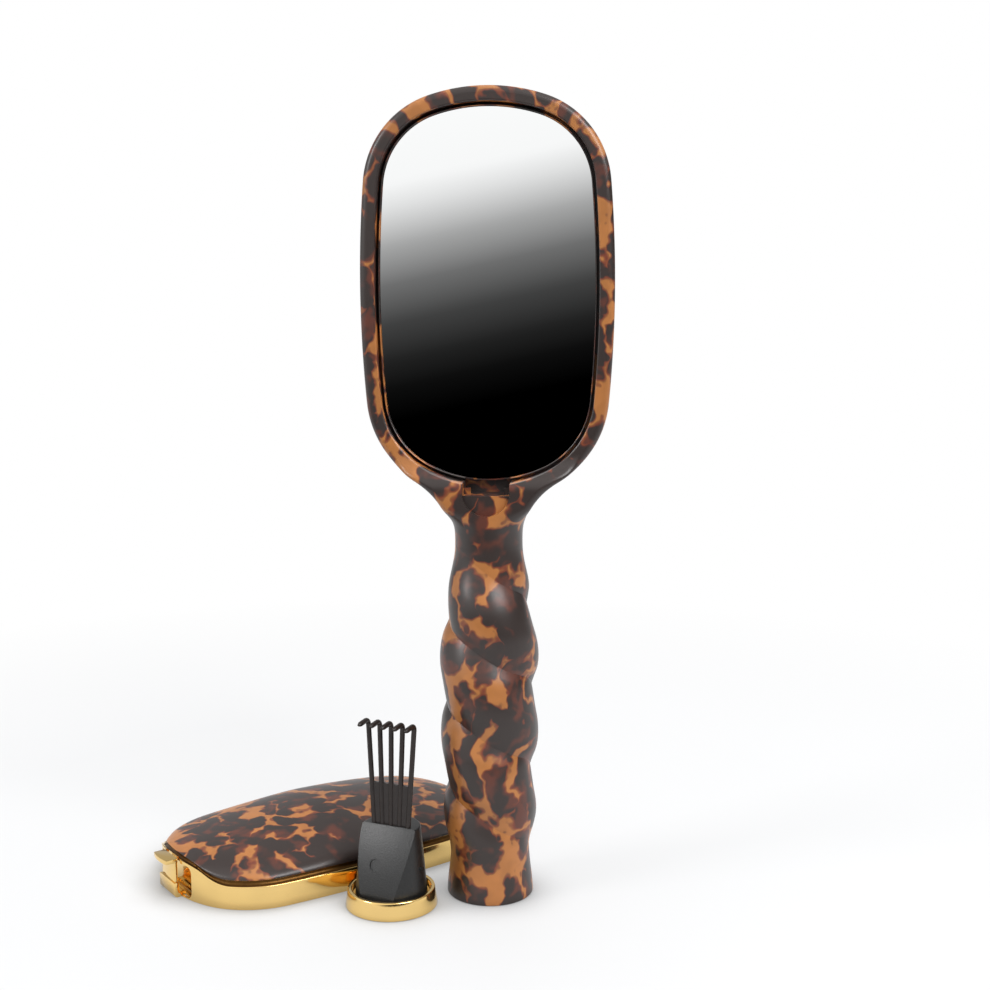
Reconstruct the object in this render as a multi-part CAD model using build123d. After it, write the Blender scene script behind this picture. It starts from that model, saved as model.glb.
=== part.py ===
"""Hand mirror and hairbrush in one, with a clip-on back cover and a cleaning rake that stores in the handle.

Three loose groups stand side by side: the brush upright on its handle foot with the mirror towards -Y,
the cover lying dome up, and the cleaning rake on its end cap. Millimetres, +Z up.
"""

import math
import os

from build123d import *

# ---- where the three groups stand ----
BRUSH_X, BRUSH_Y = 35.7, -25.2
COVER_X, COVER_Y, COVER_YAW = -101.5, -9.6, 40.6  # its latch end, from the handle foot
TOOL_X, TOOL_Y, TOOL_YAW = -29.9, -13.0, -20.0  # its cap, from the handle foot

# ---- opening in the head: the outline that ring, mirror, pad and cover share ----
BRUSH_H = 250.0  # foot to crown of the head
OPEN_L = 113.8
OPEN_W = 67.7
WIDEST = 59.0  # from the latch end
SIDE_R = 380.0
CROWN_R = 52.0
CORNER_R = 24.0
END_R = 41.0  # the latch end
END_CORNER_R = 26.0

# ---- head ----
RING_WALL = 4.5
FACE_Y = -6.0  # flat front of the ring
RIM_DEPTH = 7.5  # ring face to the floor that the cover's rim meets
WEB = 2.0
PAD_DEPTH = 4.5
SWELL = 4.9  # how far the ring face rises towards the neck
SWELL_START = 9.2  # where the rise starts and ends, from the latch end
SWELL_END = -1.3
FACE_EDGE_R = 2.0
BACK_EDGE_R = 3.5

# ---- neck and handle ----
NECK_R = 10.45
NECK_TOP_DROP, NECK_MID_DROP, NECK_LOW_DROP = 6.7, 13.2, 19.7  # below the opening's latch end
NECK_MID_CORNER_R = 8.0
SEAM_STEP = 0.12  # neck inside handle where they meet
FLARE_R = 22.5
FOOT_R = 13.65
WAIST_R, WAIST_Z = 12.35, 16.0
BELLY_R, BELLY_Z = 13.2, 72.0
TWIST_PITCH = 52.4  # one full turn of the two-strand twist
CREASE_Z = 78.9  # where a crease crosses the front
CREASE_LEAN = 3.0  # each crease is this much flatter at the flanks
BULGE = 2.4  # strand crest over the crease
FADE_FOOT, FADE_NECK, FADE_RUN = 8.0, 2.0, 22.0  # over the foot, over the handle's top, each fade's run
TWIST_STEPS = 28

# ---- storage bore in the handle ----
BORE_MOUTH_R = 11.7
BORE_R = 10.9
BORE_MOUTH_L = 12.0
BORE_L = 60.0
BORE_END = 2.5

# ---- mirror ----
GROOVE = 1.2  # slot between ring and tray for the cover's rim
LIP = 0.6
TRAY_FLOOR = 0.8
LIP_DEPTH = 3.0  # lip top under the ring face
ADHESIVE = 0.5
GLASS = 2.0
GLASS_GAP = 0.1
LIP_NOTCH_W = 14.0

# ---- latch socket in the head ----
SOCKET_W = 14.4
SOCKET_REACH = 3.1
SCOOP_R, SCOOP_DEPTH, SCOOP_DROP = 7.2, 1.5, 2.0
CATCH_W, CATCH_H = 2.0, 1.2

# ---- bristle side ----
PLATE = 1.5
PAD_GAP = 0.3
PAD_FLANGE = 2.0
PAD_CROWN = 6.5
PAD_STEPS = (0, 0.4, 0.7, 0.9, 0.98)  # shares of the crown's height
PIN_PITCH_Z, PIN_PITCH_X = 8.6, 7.6
PIN_MARGIN = 6.5
PIN_ROOT = 1.5  # sunk in the rubber
PIN_LENGTH = 15.0  # out of the rubber
PIN_ROOT_R, PIN_TIP_R, PIN_BALL_R = 0.8, 0.5, 1.0

# ---- back cover ----
RIM_GAP = 0.25
RIM_WALL = 0.75
FLANGE = 1.2
COVE = 1.5
COVE_EASE = 0.9
DOME_WALL = 1.6
DOME_TOP = 19.0
DOME_FULL = 2.2  # exponent of the cross-section: 2 is an ellipse
DOME_LEVELS = (0, 0.1, 0.25, 0.42, 0.6, 0.76, 0.89, 0.985)  # shares of the crown's height
NOSE_SLOPE, NOSE_CROWN = 42.0, 12.0  # how far the latch end draws in up to the crown
TAIL_SLOPE, TAIL_CROWN = 25.0, 27.0  # the same for the far end
SEAT_W = 1.6

# ---- latch tongue ----
TONGUE_HALF, SHOULDER_HALF = 4.9, 5.8
TONGUE_T, SHOULDER_T = 1.0, 1.6
SHOULDER_H = 4.8
TAB_T, TAB_REACH, TAB_BOW = 1.3, 2.7, 0.6
BEND_R, BEND_U, BEND_GAP = 0.8, 1.5, 0.1
POCKET_HALF = 8.0
POCKET_WALL = 0.8
POCKET_CORNER_R = 1.5
NOTCH_U, NOTCH_HALF = 1.2, 5.6

# ---- cleaning rake ----
CAP_H = 5.7
CAP_FLARE = 0.8
CAP_WALL = 1.25
CAP_FLOOR = 3.2
CAP_EDGE = 0.35
PLUG_R, PLUG_TOP_R, PLUG_H = 11.35, 9.4, 25.6
PLUG_FACE_TOP, PLUG_FACE_FOOT = 1.7, 8.4
PLUG_FACE_R = 160.0
PLUG_EDGE = 0.6
NUB_R, NUB_Z = 0.7, 13.0
MARK_R, MARK_DEPTH, MARK_Z = 1.9, 0.2, 14.5
TINES = 5
TINE_R = 0.8
TINE_SIDES = 10
TINE_ROOT_PITCH, TINE_TIP_PITCH = 3.3, 4.25
TINE_TOP = 59.5
HOOK_L, HOOK_R, HOOK_DROOP = 5.6, 1.6, 0.4
WEB_T, WEB_TOP = 0.9, 40.0
ROOT_DEPTH, ROOT_T, ROOT_END = 8.0, 3.0, 1.2

OPEN_Z = BRUSH_H - RING_WALL - OPEN_L  # latch end of the opening
NECK_TOP = OPEN_Z - NECK_TOP_DROP
NECK_MID = OPEN_Z - NECK_MID_DROP
NECK_LOW = OPEN_Z - NECK_LOW_DROP
FLOOR_Y = FACE_Y + RIM_DEPTH
PAD_FLOOR_Y = FLOOR_Y + WEB
BACK_Y = PAD_FLOOR_Y + PAD_DEPTH
NECK_FRONT_Y = FACE_Y - SWELL
FAR = 60.0  # beyond any piece, for cutting bodies
TONGUE_H = RIM_DEPTH + SWELL  # thumb tab level with the ring face at the neck

BRUSH = Location((BRUSH_X, BRUSH_Y, 0))
COVER = BRUSH * Location((COVER_X, COVER_Y, 0), (0, 0, COVER_YAW))
TOOL = BRUSH * Location((TOOL_X, TOOL_Y, 0), (0, 0, TOOL_YAW))


def unit(x, y):
    """Direction of length one."""
    length = math.hypot(x, y)
    return x / length, y / length


def ease(t):
    """Half a cosine from 0 to 1."""
    t = min(max(t, 0.0), 1.0)
    return (1 - math.cos(math.pi * t)) / 2


def crossing(first, first_r, second, second_r, side):
    """Where two circles meet, on one side of the line from the first centre to the second."""
    gap_x, gap_y = second[0] - first[0], second[1] - first[1]
    gap = math.hypot(gap_x, gap_y)
    along = (first_r**2 - second_r**2 + gap**2) / (2 * gap)
    across = side * math.sqrt(first_r**2 - along**2)
    return (
        first[0] + (along * gap_x - across * gap_y) / gap,
        first[1] + (along * gap_y + across * gap_x) / gap,
    )


def opening_outline(inset=0.0):
    """Opening outline in the XY plane, latch end at the origin and its length along +Y."""
    flank = (OPEN_W / 2 - SIDE_R, WIDEST)  # centre of the right side's arc
    low = crossing(flank, SIDE_R - inset, (0, END_R), END_R - inset, -1)
    high = crossing(flank, SIDE_R - inset, (0, OPEN_L - CROWN_R), CROWN_R - inset, 1)
    left_low, left_high = (-low[0], low[1]), (-high[0], high[1])
    half = OPEN_W / 2 - inset
    rim = [
        ThreePointArc(left_low, (0, inset), low),
        ThreePointArc(low, (half, WIDEST), high),
        ThreePointArc(high, (0, OPEN_L - inset), left_high),
        ThreePointArc(left_high, (-half, WIDEST), left_low),
    ]
    face = make_face(rim)
    face = fillet(face.vertices().sort_by(Axis.Y)[-2:], CORNER_R - inset)
    return fillet(face.vertices().sort_by(Axis.Y)[:2], END_CORNER_R - inset)


def end_corner():
    """Centre of the opening's lower right corner, latch end at the origin."""
    flank = (OPEN_W / 2 - SIDE_R, WIDEST)
    return crossing(flank, SIDE_R - END_CORNER_R, (0, END_R), END_R - END_CORNER_R, -1)


def brush_plane(y):
    """Plane across the brush at a depth, seen from the mirror side: X right, local Y up the brush."""
    return Plane(origin=(0, y, 0), x_dir=(1, 0, 0), z_dir=(0, -1, 0))


def brush_slab(face, y_front, y_back):
    """A face in brush coordinates, thick from y_front back to y_back."""
    return extrude(brush_plane(y_back) * face, y_back - y_front)


def brush_opening(inset, y_front, y_back):
    """The opening outline at its place in the head, as a slab."""
    return brush_slab(Pos(0, OPEN_Z) * opening_outline(inset), y_front, y_back)


def swell_air(plane):
    """What lies in front of the ring face: flat, then rising to the neck through two equal arcs.

    The plane's local X runs up the opening from the latch end and its local Y points off the face.
    """
    run = SWELL_START - SWELL_END
    bend = (run**2 + SWELL**2) / (4 * SWELL)
    middle = ((SWELL_START + SWELL_END) / 2, SWELL / 2)
    start, end = (SWELL_START, 0), (SWELL_END, SWELL)
    hollow = RadiusArc(start, middle, bend)
    crest = RadiusArc(middle, end, -bend)
    far = OPEN_L + FAR
    edge = Polyline(end, (-FAR, SWELL), (-FAR, FAR), (far, FAR), (far, 0), start)
    return extrude(plane * make_face([hollow, crest, *edge.edges()]), FAR, both=True)


def neck_section(z, half, front, back, r_front, r_back):
    """Level section of the neck: straight front, back and sides with rounded corners."""
    lines = [
        Line((-half + r_front, front), (half - r_front, front)),
        RadiusArc((half - r_front, front), (half, front + r_front), -r_front),
        Line((half, front + r_front), (half, back - r_back)),
        RadiusArc((half, back - r_back), (half - r_back, back), -r_back),
        Line((half - r_back, back), (-half + r_back, back)),
        RadiusArc((-half + r_back, back), (-half, back - r_back), -r_back),
        Line((-half, back - r_back), (-half, front + r_front)),
        RadiusArc((-half, front + r_front), (-half + r_front, front), -r_front),
    ]
    return Pos(0, 0, z) * make_face(lines)


def flare_centre_z():
    """Height where the neck's concave flank turns straight: the flank touches the head's lower corner."""
    corner_x, corner_y = end_corner()
    reach = END_CORNER_R + RING_WALL + FLARE_R
    return OPEN_Z + corner_y - math.sqrt(reach**2 - (NECK_R + FLARE_R - corner_x) ** 2)


def neck_half(z):
    """Half width of the neck's flank at a height."""
    rise = max(z - flare_centre_z(), 0)
    return NECK_R + FLARE_R - math.sqrt(FLARE_R**2 - rise**2)


def crease_radius(z):
    """Handle radius in the creases: flared foot, waist, belly, then the slim neck."""
    if z < WAIST_Z:
        return FOOT_R + (WAIST_R - FOOT_R) * ease(z / WAIST_Z)
    if z < BELLY_Z:
        return WAIST_R + (BELLY_R - WAIST_R) * ease((z - WAIST_Z) / (BELLY_Z - WAIST_Z))
    return BELLY_R + (NECK_R - BELLY_R) * ease((z - BELLY_Z) / (NECK_LOW - BELLY_Z))


def strand_bulge(z):
    """Crest of a strand over the creases, fading out at both ends of the twist."""
    return BULGE * ease((z - FADE_FOOT) / FADE_RUN) * ease((NECK_LOW + FADE_NECK - z) / FADE_RUN)


def crease_angle(z, strand):
    """Angle of a crease from the front (-Y) towards +X, in radians."""
    turn = 2 * math.pi / TWIST_PITCH
    angle = 0.0
    for _ in range(40):
        angle = turn * (CREASE_Z - z + CREASE_LEAN * math.sin(angle + strand * math.pi))
    return angle + strand * math.pi


def on_handle(radius, angle):
    """Point at a radius and an angle from the front."""
    return radius * math.sin(angle), -radius * math.cos(angle)


def handle_section(z):
    """Level section of the twisted handle: two strands that meet in two creases."""
    low_r = crease_radius(z)
    crest_r = low_r + strand_bulge(z)
    first, second = crease_angle(z, 0), crease_angle(z, 1)
    creases = [on_handle(low_r, first), on_handle(low_r, second)]
    crests = [
        on_handle(crest_r, (first + second) / 2),
        on_handle(crest_r, (first + second) / 2 + math.pi),
    ]
    strands = [
        ThreePointArc(creases[0], crests[0], creases[1]),
        ThreePointArc(creases[1], crests[1], creases[0]),
    ]
    return Pos(0, 0, z) * make_face(strands)


def handle_bore():
    """Storage bore from the foot up: a tapered mouth, a straight run and a bevelled end."""
    profile = Polyline(
        (0, 0),
        (BORE_MOUTH_R, 0),
        (BORE_R, BORE_MOUTH_L),
        (BORE_R, BORE_L),
        (0, BORE_L),
        close=True,
    )
    face = make_face(profile)
    corner = face.vertices().sort_by_distance(Vector(BORE_R, BORE_L, 0))[0]
    face = chamfer(corner, BORE_END)
    return revolve(Plane.XZ * face, Axis.Z)


def neck_outline():
    """Neck from the front: straight flanks that flare out and end where they touch the head's corners."""
    corner_x, corner_y = end_corner()
    flare_x, flare_z = NECK_R + FLARE_R, flare_centre_z()
    share = (END_CORNER_R + RING_WALL) / (END_CORNER_R + RING_WALL + FLARE_R)
    touch_x = corner_x + share * (flare_x - corner_x)
    touch_z = OPEN_Z + corner_y + share * (flare_z - OPEN_Z - corner_y)
    lines = [
        Line((-NECK_R, NECK_LOW), (NECK_R, NECK_LOW)),
        Line((NECK_R, NECK_LOW), (NECK_R, flare_z)),
        RadiusArc((NECK_R, flare_z), (touch_x, touch_z), FLARE_R),
        Line((touch_x, touch_z), (-touch_x, touch_z)),
        RadiusArc((-touch_x, touch_z), (-NECK_R, flare_z), FLARE_R),
        Line((-NECK_R, flare_z), (-NECK_R, NECK_LOW)),
    ]
    return make_face(lines)


def head_blank():
    """Head and flared neck before any recess, with its rounded edges."""
    outline = Pos(0, OPEN_Z) * opening_outline(-RING_WALL) + neck_outline()
    blank = brush_slab(outline, NECK_FRONT_Y, BACK_Y)
    ring_face = Plane(origin=(0, FACE_Y, OPEN_Z), x_dir=(0, 0, 1), z_dir=(1, 0, 0))
    blank -= swell_air(ring_face)
    blank -= Pos(0, 0, NECK_TOP - FAR) * Box(4 * FAR, 4 * FAR, 2 * FAR)
    low = NECK_TOP + 0.01
    sharp = blank.edges().filter_by(lambda e: e.bounding_box().max.Z > low)
    front = sharp.filter_by(lambda e: e.bounding_box().min.Y < FACE_Y + 0.01 and outer(e))
    blank = fillet(front, FACE_EDGE_R)
    back = blank.edges().filter_by(lambda e: e.bounding_box().min.Y > BACK_Y - 0.01)
    back = back.filter_by(lambda e: e.bounding_box().max.Z > low)
    return fillet(back, BACK_EDGE_R)


def outer(edge):
    """True for an edge that runs along the outline, not across the face."""
    ends = edge.bounding_box()
    return abs(ends.min.X + ends.max.X) > 1.0 or ends.max.Z > BRUSH_H - 1.0


def frame_body():
    """Handle, neck and head ring: one moulding, with the handle's twist as its chief form."""
    heights = [NECK_LOW * i / TWIST_STEPS for i in range(TWIST_STEPS + 1)]
    handle = loft([handle_section(z) for z in heights])
    low_half = NECK_R - SEAM_STEP
    low_r = low_half - SEAM_STEP
    middle_front = (NECK_FRONT_Y - NECK_R) / 2
    middle_back = (BACK_Y + NECK_R) / 2
    mid_r = NECK_MID_CORNER_R
    neck = loft(
        [
            neck_section(NECK_LOW, low_half, -low_half, low_half, low_r, low_r),
            neck_section(NECK_MID, neck_half(NECK_MID), middle_front, middle_back, mid_r, mid_r),
            neck_section(
                NECK_TOP,
                neck_half(NECK_TOP) - SEAM_STEP,
                NECK_FRONT_Y + SEAM_STEP,
                BACK_Y - SEAM_STEP,
                FACE_EDGE_R,
                BACK_EDGE_R,
            ),
        ]
    )
    body = head_blank() + neck + handle
    body -= brush_opening(0, -FAR, FLOOR_Y)
    body -= brush_opening(0, PAD_FLOOR_Y, FAR)
    body -= latch_socket()
    body += catches()
    return body - handle_bore()


def latch_socket():
    """Socket for the cover's tongue at the latch end, and the thumb's scoop in front of it."""
    reach = SOCKET_REACH + OPEN_L / 4
    socket = Pos(0, OPEN_Z - SOCKET_REACH + reach / 2) * Rectangle(SOCKET_W, reach)
    scoop = Pos(0, OPEN_Z - SCOOP_DROP) * Circle(SCOOP_R)
    cut = brush_slab(socket, -FAR, FLOOR_Y)
    return cut + brush_slab(scoop, -FAR, NECK_FRONT_Y + SCOOP_DEPTH)


def catches():
    """Two ledges in the socket that hold the tongue's shoulders down."""
    shoulder_y = FLOOR_Y - SHOULDER_H
    length = SOCKET_REACH - SHOULDER_T + 0.4
    ledge = Box(CATCH_W, CATCH_H, length)
    z = OPEN_Z - SOCKET_REACH + length / 2
    x = (SOCKET_W - CATCH_W) / 2
    y = shoulder_y - RIM_GAP - CATCH_H / 2
    return [Pos(side * x, y, z) * ledge for side in (-1, 1)]


def mirror_tray():
    """Shallow tray with a raised lip; the lip is cut away where the tongue passes."""
    front = FACE_Y + LIP_DEPTH
    tray = brush_opening(GROOVE, front, FLOOR_Y)
    tray -= brush_opening(GROOVE + LIP, front, FLOOR_Y - TRAY_FLOOR)
    glass_front = FLOOR_Y - TRAY_FLOOR - ADHESIVE - GLASS
    notch = Pos(0, OPEN_Z) * Rectangle(LIP_NOTCH_W, 4 * GROOVE)
    return tray - brush_slab(notch, front, glass_front)


def mirror_layer(front, back):
    """Adhesive or glass: fills the tray inside its lip."""
    return brush_opening(GROOVE + LIP + GLASS_GAP, front, back)


def pillow(inset, start, flange, crown):
    """Cushion with the opening's outline: a straight flange, then a crown that rounds over."""
    layers = []
    for share in PAD_STEPS:
        drawn_in = inset + crown * (1 - math.sqrt(1 - share**2))
        level = brush_plane(start + flange + crown * share)
        layers.append(level * Pos(0, OPEN_Z) * opening_outline(drawn_in))
    return brush_opening(inset, start, start + flange) + loft(layers, ruled=True)


def pin_rows():
    """Places of the bristle pins, row by row up the head: (z, [x, ...])."""
    border = opening_outline(PIN_MARGIN)
    rows = []
    count = int((OPEN_L - 2 * PIN_MARGIN) / PIN_PITCH_Z)
    first = (OPEN_L - count * PIN_PITCH_Z) / 2
    for row in range(count + 1):
        u = first + row * PIN_PITCH_Z
        cut = Line((-OPEN_W, u), (OPEN_W, u)) & border
        half = cut.bounding_box().max.X if cut else 0
        shift = PIN_PITCH_X / 2 if row % 2 else 0
        spots = [k * PIN_PITCH_X + shift for k in range(-8, 9)]
        rows.append((OPEN_Z + u, [x for x in spots if abs(x) <= half]))
    return rows


def pin(x, z, surface_y):
    """Tapered bristle pin with a ball tip, six sided to stay light."""
    length = PIN_ROOT + PIN_LENGTH
    belt = length - PIN_BALL_R
    side = [(PIN_ROOT_R, 0), (PIN_TIP_R, belt - PIN_BALL_R), (PIN_BALL_R, belt), (PIN_TIP_R, length)]
    mirrored = [(-half, along) for half, along in reversed(side)]
    silhouette = make_face(Polyline(*side, *mirrored, close=True))
    slab = extrude(silhouette, 2 * PIN_BALL_R, both=True)
    shape = slab & Rot(0, 60, 0) * slab & Rot(0, 120, 0) * slab
    return Pos(x, surface_y - PIN_ROOT, z) * shape


def pad_surface_y(cushion, x, z):
    """Depth of the cushion's crown at a place."""
    ray = Line((x, PAD_FLOOR_Y, z), (x, FAR, z))
    return (ray & cushion).bounding_box().max.Y


def cover_outline(inset):
    """Opening outline lying flat, latch end at the origin and its length along +X."""
    return Rot(0, 0, -90) * opening_outline(inset)


def cover_slab(inset, height):
    """Upright prism on the cover's outline."""
    return extrude(cover_outline(inset), height)


def above_swell(lift):
    """Space above the rim's top edge, lifted."""
    plane = Plane(origin=(0, 0, RIM_DEPTH + lift), x_dir=(1, 0, 0), z_dir=(0, -1, 0))
    return swell_air(plane)


def cover_rim():
    """Plated rim: a thin wall under a coved ledge, with a pocket behind the latch tongue."""
    tall = RIM_DEPTH + SWELL + 4 * COVE
    outside = cover_slab(RIM_GAP, tall)
    wall = outside - above_swell(0)
    step = cover_slab(RIM_GAP + COVE, tall) - above_swell(COVE)
    rim = wall + step
    border = cover_outline(RIM_GAP).wires()[0]

    def in_corner(edge):
        centre = edge @ 0.5
        away = border.distance_to(Vector(centre.X, centre.Y, 0))
        flat = centre.Z < RIM_DEPTH + SWELL + 0.01
        return abs(away - COVE) < 0.05 and flat and centre.Z > 1.0

    corner = [e for e in rim.edges() if in_corner(e) and on_swell(e @ 0.5)]
    rim = chamfer(corner, COVE_EASE)
    rim -= cover_slab(RIM_GAP + RIM_WALL, tall) - above_swell(-FLANGE)
    rim -= cover_slab(RIM_GAP + COVE + SEAT_W, tall)
    depth = pocket_u() + POCKET_WALL
    half = POCKET_HALF + POCKET_WALL
    backing = Pos(depth / 2, 0, tall / 2) * Box(depth, 2 * half, tall)
    backing = (backing & outside) - above_swell(-FLANGE / 2)
    rim += backing
    pocket_h = tall
    pocket = Pos(0, 0, pocket_h / 2) * Box(2 * pocket_u(), 2 * POCKET_HALF, pocket_h)
    pocket = fillet(pocket.edges().filter_by(Axis.X), POCKET_CORNER_R)
    pocket = Pos(0, 0, BEND_GAP) * pocket - above_swell(-FLANGE)
    slot = Box(2 * pocket_u(), 2 * (SHOULDER_HALF + RIM_GAP), 4 * BEND_R)
    notch = Pos(0, 0, tall / 2) * Box(2 * NOTCH_U, 2 * NOTCH_HALF, 2 * tall)
    return rim - pocket - slot - notch


def on_swell(point):
    """True for a point on the rim's top edge surface."""
    run = SWELL_START - SWELL_END
    bend = (run**2 + SWELL**2) / (4 * SWELL)
    from_start, from_end = SWELL_START - point.X, point.X - SWELL_END
    if from_start <= 0:
        rise = 0
    elif from_start < run / 2:
        rise = bend - math.sqrt(bend**2 - from_start**2)
    else:
        rise = SWELL - bend + math.sqrt(bend**2 - from_end**2)
    return abs(point.Z - RIM_DEPTH - rise) < 0.05


def pocket_u():
    """Back of the latch pocket, from the latch end."""
    return BEND_U + BEND_R + BEND_GAP


def dome_section(z, inset, drop):
    """Level section of the dome: the outline, drawn in at the latch end, far end and sides."""
    edge = RIM_GAP + COVE
    low = RIM_DEPTH + COVE
    rise = min(max((z - low) / (DOME_TOP - low), 0), 1)
    nose = max((z - low - SWELL) / (DOME_TOP - low - SWELL), 0)
    start = edge + inset + NOSE_SLOPE * nose**0.62 + NOSE_CROWN * nose**8
    end = OPEN_L - edge - inset - TAIL_SLOPE * rise - TAIL_CROWN * rise**7
    half = (OPEN_W / 2 - edge) * (1 - rise**DOME_FULL) ** (1 / DOME_FULL) - inset
    base = opening_outline(edge)
    size = base.bounding_box().size
    base = Rot(0, 0, -90) * (Pos(0, -edge) * base)
    return Pos(start, 0, z - drop) * scale(base, by=((end - start) / size.Y, 2 * half / size.X, 1))


def dome_solid(inset, drop):
    """Domed body: steep up to the level of the latch end, then drawn in towards the crown."""
    low = RIM_DEPTH
    nose = RIM_DEPTH + COVE + SWELL
    crown = DOME_TOP - nose
    skirt = [low, low + COVE, (low + COVE + nose) / 2, nose]
    crest = [nose + crown * share for share in DOME_LEVELS]
    lower = loft([dome_section(z, inset, drop) for z in skirt], ruled=True)
    return lower + loft([dome_section(z, inset, drop) for z in crest], ruled=True)


def cover_dome():
    """Tortoiseshell dome, hollow, standing on the rim's seat."""
    dome = dome_solid(0, 0) - dome_solid(DOME_WALL, DOME_WALL)
    return dome & above_swell(COVE)


def latch_tongue():
    """Snap tongue: thumb tab, plate, wider shoulders and the bend at its foot."""
    plate = Pos(-TONGUE_T / 2, 0, TONGUE_H / 2) * Box(TONGUE_T, 2 * TONGUE_HALF, TONGUE_H - BEND_R)
    shoulder = Pos(-SHOULDER_T / 2, 0, SHOULDER_H / 2) * Box(SHOULDER_T, 2 * SHOULDER_HALF, SHOULDER_H)
    foot_l = SHOULDER_T + BEND_U
    foot = Pos(BEND_U - foot_l / 2, 0, BEND_R) * Box(foot_l, 2 * SHOULDER_HALF, 2 * BEND_R)
    bend = Pos(BEND_U, 0, BEND_R) * Rot(90, 0, 0) * Cylinder(BEND_R, 2 * SHOULDER_HALF)
    tongue = plate + shoulder + foot + bend
    heel = tongue.edges().filter_by(Axis.Y).sort_by_distance(Vector(-SHOULDER_T, 0, 0))[0]
    tongue = fillet(heel, BEND_R)
    inner, out = 0.1, -TONGUE_T - TAB_REACH
    tab_edge = [
        Line((inner, -TONGUE_HALF), (inner, TONGUE_HALF)),
        Line((inner, TONGUE_HALF), (out, TONGUE_HALF)),
        ThreePointArc((out, TONGUE_HALF), (out - TAB_BOW, 0), (out, -TONGUE_HALF)),
        Line((out, -TONGUE_HALF), (inner, -TONGUE_HALF)),
    ]
    return tongue + Pos(0, 0, TONGUE_H - TAB_T) * extrude(make_face(tab_edge), TAB_T)


def tool_end_cap():
    """Cup that closes the handle: its top matches the handle foot, its foot is flared."""
    top_r = FOOT_R
    profile = Polyline(
        (0, 0),
        (top_r + CAP_FLARE, 0),
        (top_r, CAP_H),
        (top_r - CAP_WALL, CAP_H),
        (top_r - CAP_WALL, CAP_FLOOR),
        (0, CAP_FLOOR),
        close=True,
    )
    face = make_face(profile)
    rounds = face.vertices().sort_by(Axis.X)[-3:]
    return revolve(Plane.XZ * chamfer(rounds, CAP_EDGE), Axis.Z)


def tool_plug_body():
    """Tapered plug with a sloped, slightly convex front and a socket for the comb's root."""
    cone_h = PLUG_H - CAP_FLOOR
    plug = Pos(0, 0, CAP_FLOOR + cone_h / 2) * Cone(PLUG_R, PLUG_TOP_R, cone_h)
    plug = chamfer(plug.edges().sort_by(Axis.Z)[-1], PLUG_EDGE)
    lean = math.atan2(PLUG_FACE_FOOT - PLUG_FACE_TOP, cone_h)
    middle = (PLUG_FACE_FOOT + PLUG_FACE_TOP) / 2
    face_at = Location((0, -middle, CAP_FLOOR + cone_h / 2), (-math.degrees(lean), 0, 0))
    room = Pos(0, -FAR / 2, 0) * Box(2 * FAR, FAR, FAR)
    drum = Pos(0, PLUG_FACE_R, 0) * Rot(0, 90, 0) * Cylinder(PLUG_FACE_R, 2 * FAR)
    front = Box(2 * FAR, 2 * FAR, FAR) - drum
    front -= Pos(0, FAR, 0) * Box(4 * FAR, 2 * FAR, 2 * FAR)
    plug -= face_at * (front + room)
    mark = Rot(90, 0, 0) * Cylinder(MARK_R, 2 * MARK_DEPTH)
    plug -= face_at * Pos(-2.0, 0, MARK_Z - CAP_FLOOR - cone_h / 2) * mark
    side_r = PLUG_R + (PLUG_TOP_R - PLUG_R) * (NUB_Z - CAP_FLOOR) / cone_h
    plug += Pos(side_r, 0, NUB_Z) * Rot(0, 90, 0) * Cylinder(NUB_R, 2 * NUB_R)
    return plug - comb_root()


def comb_root():
    """Block at the foot of the comb, held in the plug."""
    length = (TINES - 1) * TINE_ROOT_PITCH + 2 * (TINE_R + ROOT_END)
    return Pos(0, 0, PLUG_H - ROOT_DEPTH / 2) * Box(length, ROOT_T, ROOT_DEPTH)


def tine(index):
    """One hooked tine of the fanned comb."""
    place = index - (TINES - 1) / 2
    root = Vector(place * TINE_ROOT_PITCH, 0, PLUG_H - TINE_R)
    top = Vector(place * TINE_TIP_PITCH, 0, TINE_TOP - TINE_R)
    tip = top + Vector(0, -HOOK_L, -HOOK_DROOP)
    path = FilletPolyline(root, top, tip, radius=HOOK_R)
    section = Plane(origin=root, z_dir=top - root) * RegularPolygon(TINE_R, TINE_SIDES)
    return sweep(section, path)


def tool_rake_comb():
    """Comb of hooked tines joined by a web at their lower half."""
    comb = comb_root()
    share = (WEB_TOP - PLUG_H) / (TINE_TOP - PLUG_H)
    foot_half = (TINES - 1) / 2 * TINE_ROOT_PITCH
    top_half = foot_half + (TINES - 1) / 2 * (TINE_TIP_PITCH - TINE_ROOT_PITCH) * share
    corners = [(-foot_half, PLUG_H), (foot_half, PLUG_H), (top_half, WEB_TOP), (-top_half, WEB_TOP)]
    web = make_face(Polyline(*corners, close=True))
    comb += extrude(Plane.XZ * web, WEB_T / 2, both=True)
    for index in range(TINES):
        comb += tine(index)
    return comb


def save(name, shape, place):
    """Write one named piece at its place."""
    if isinstance(shape, list):
        shape = Compound(children=shape)
    export_step(place * shape, f"parts/{name}.step")


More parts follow.
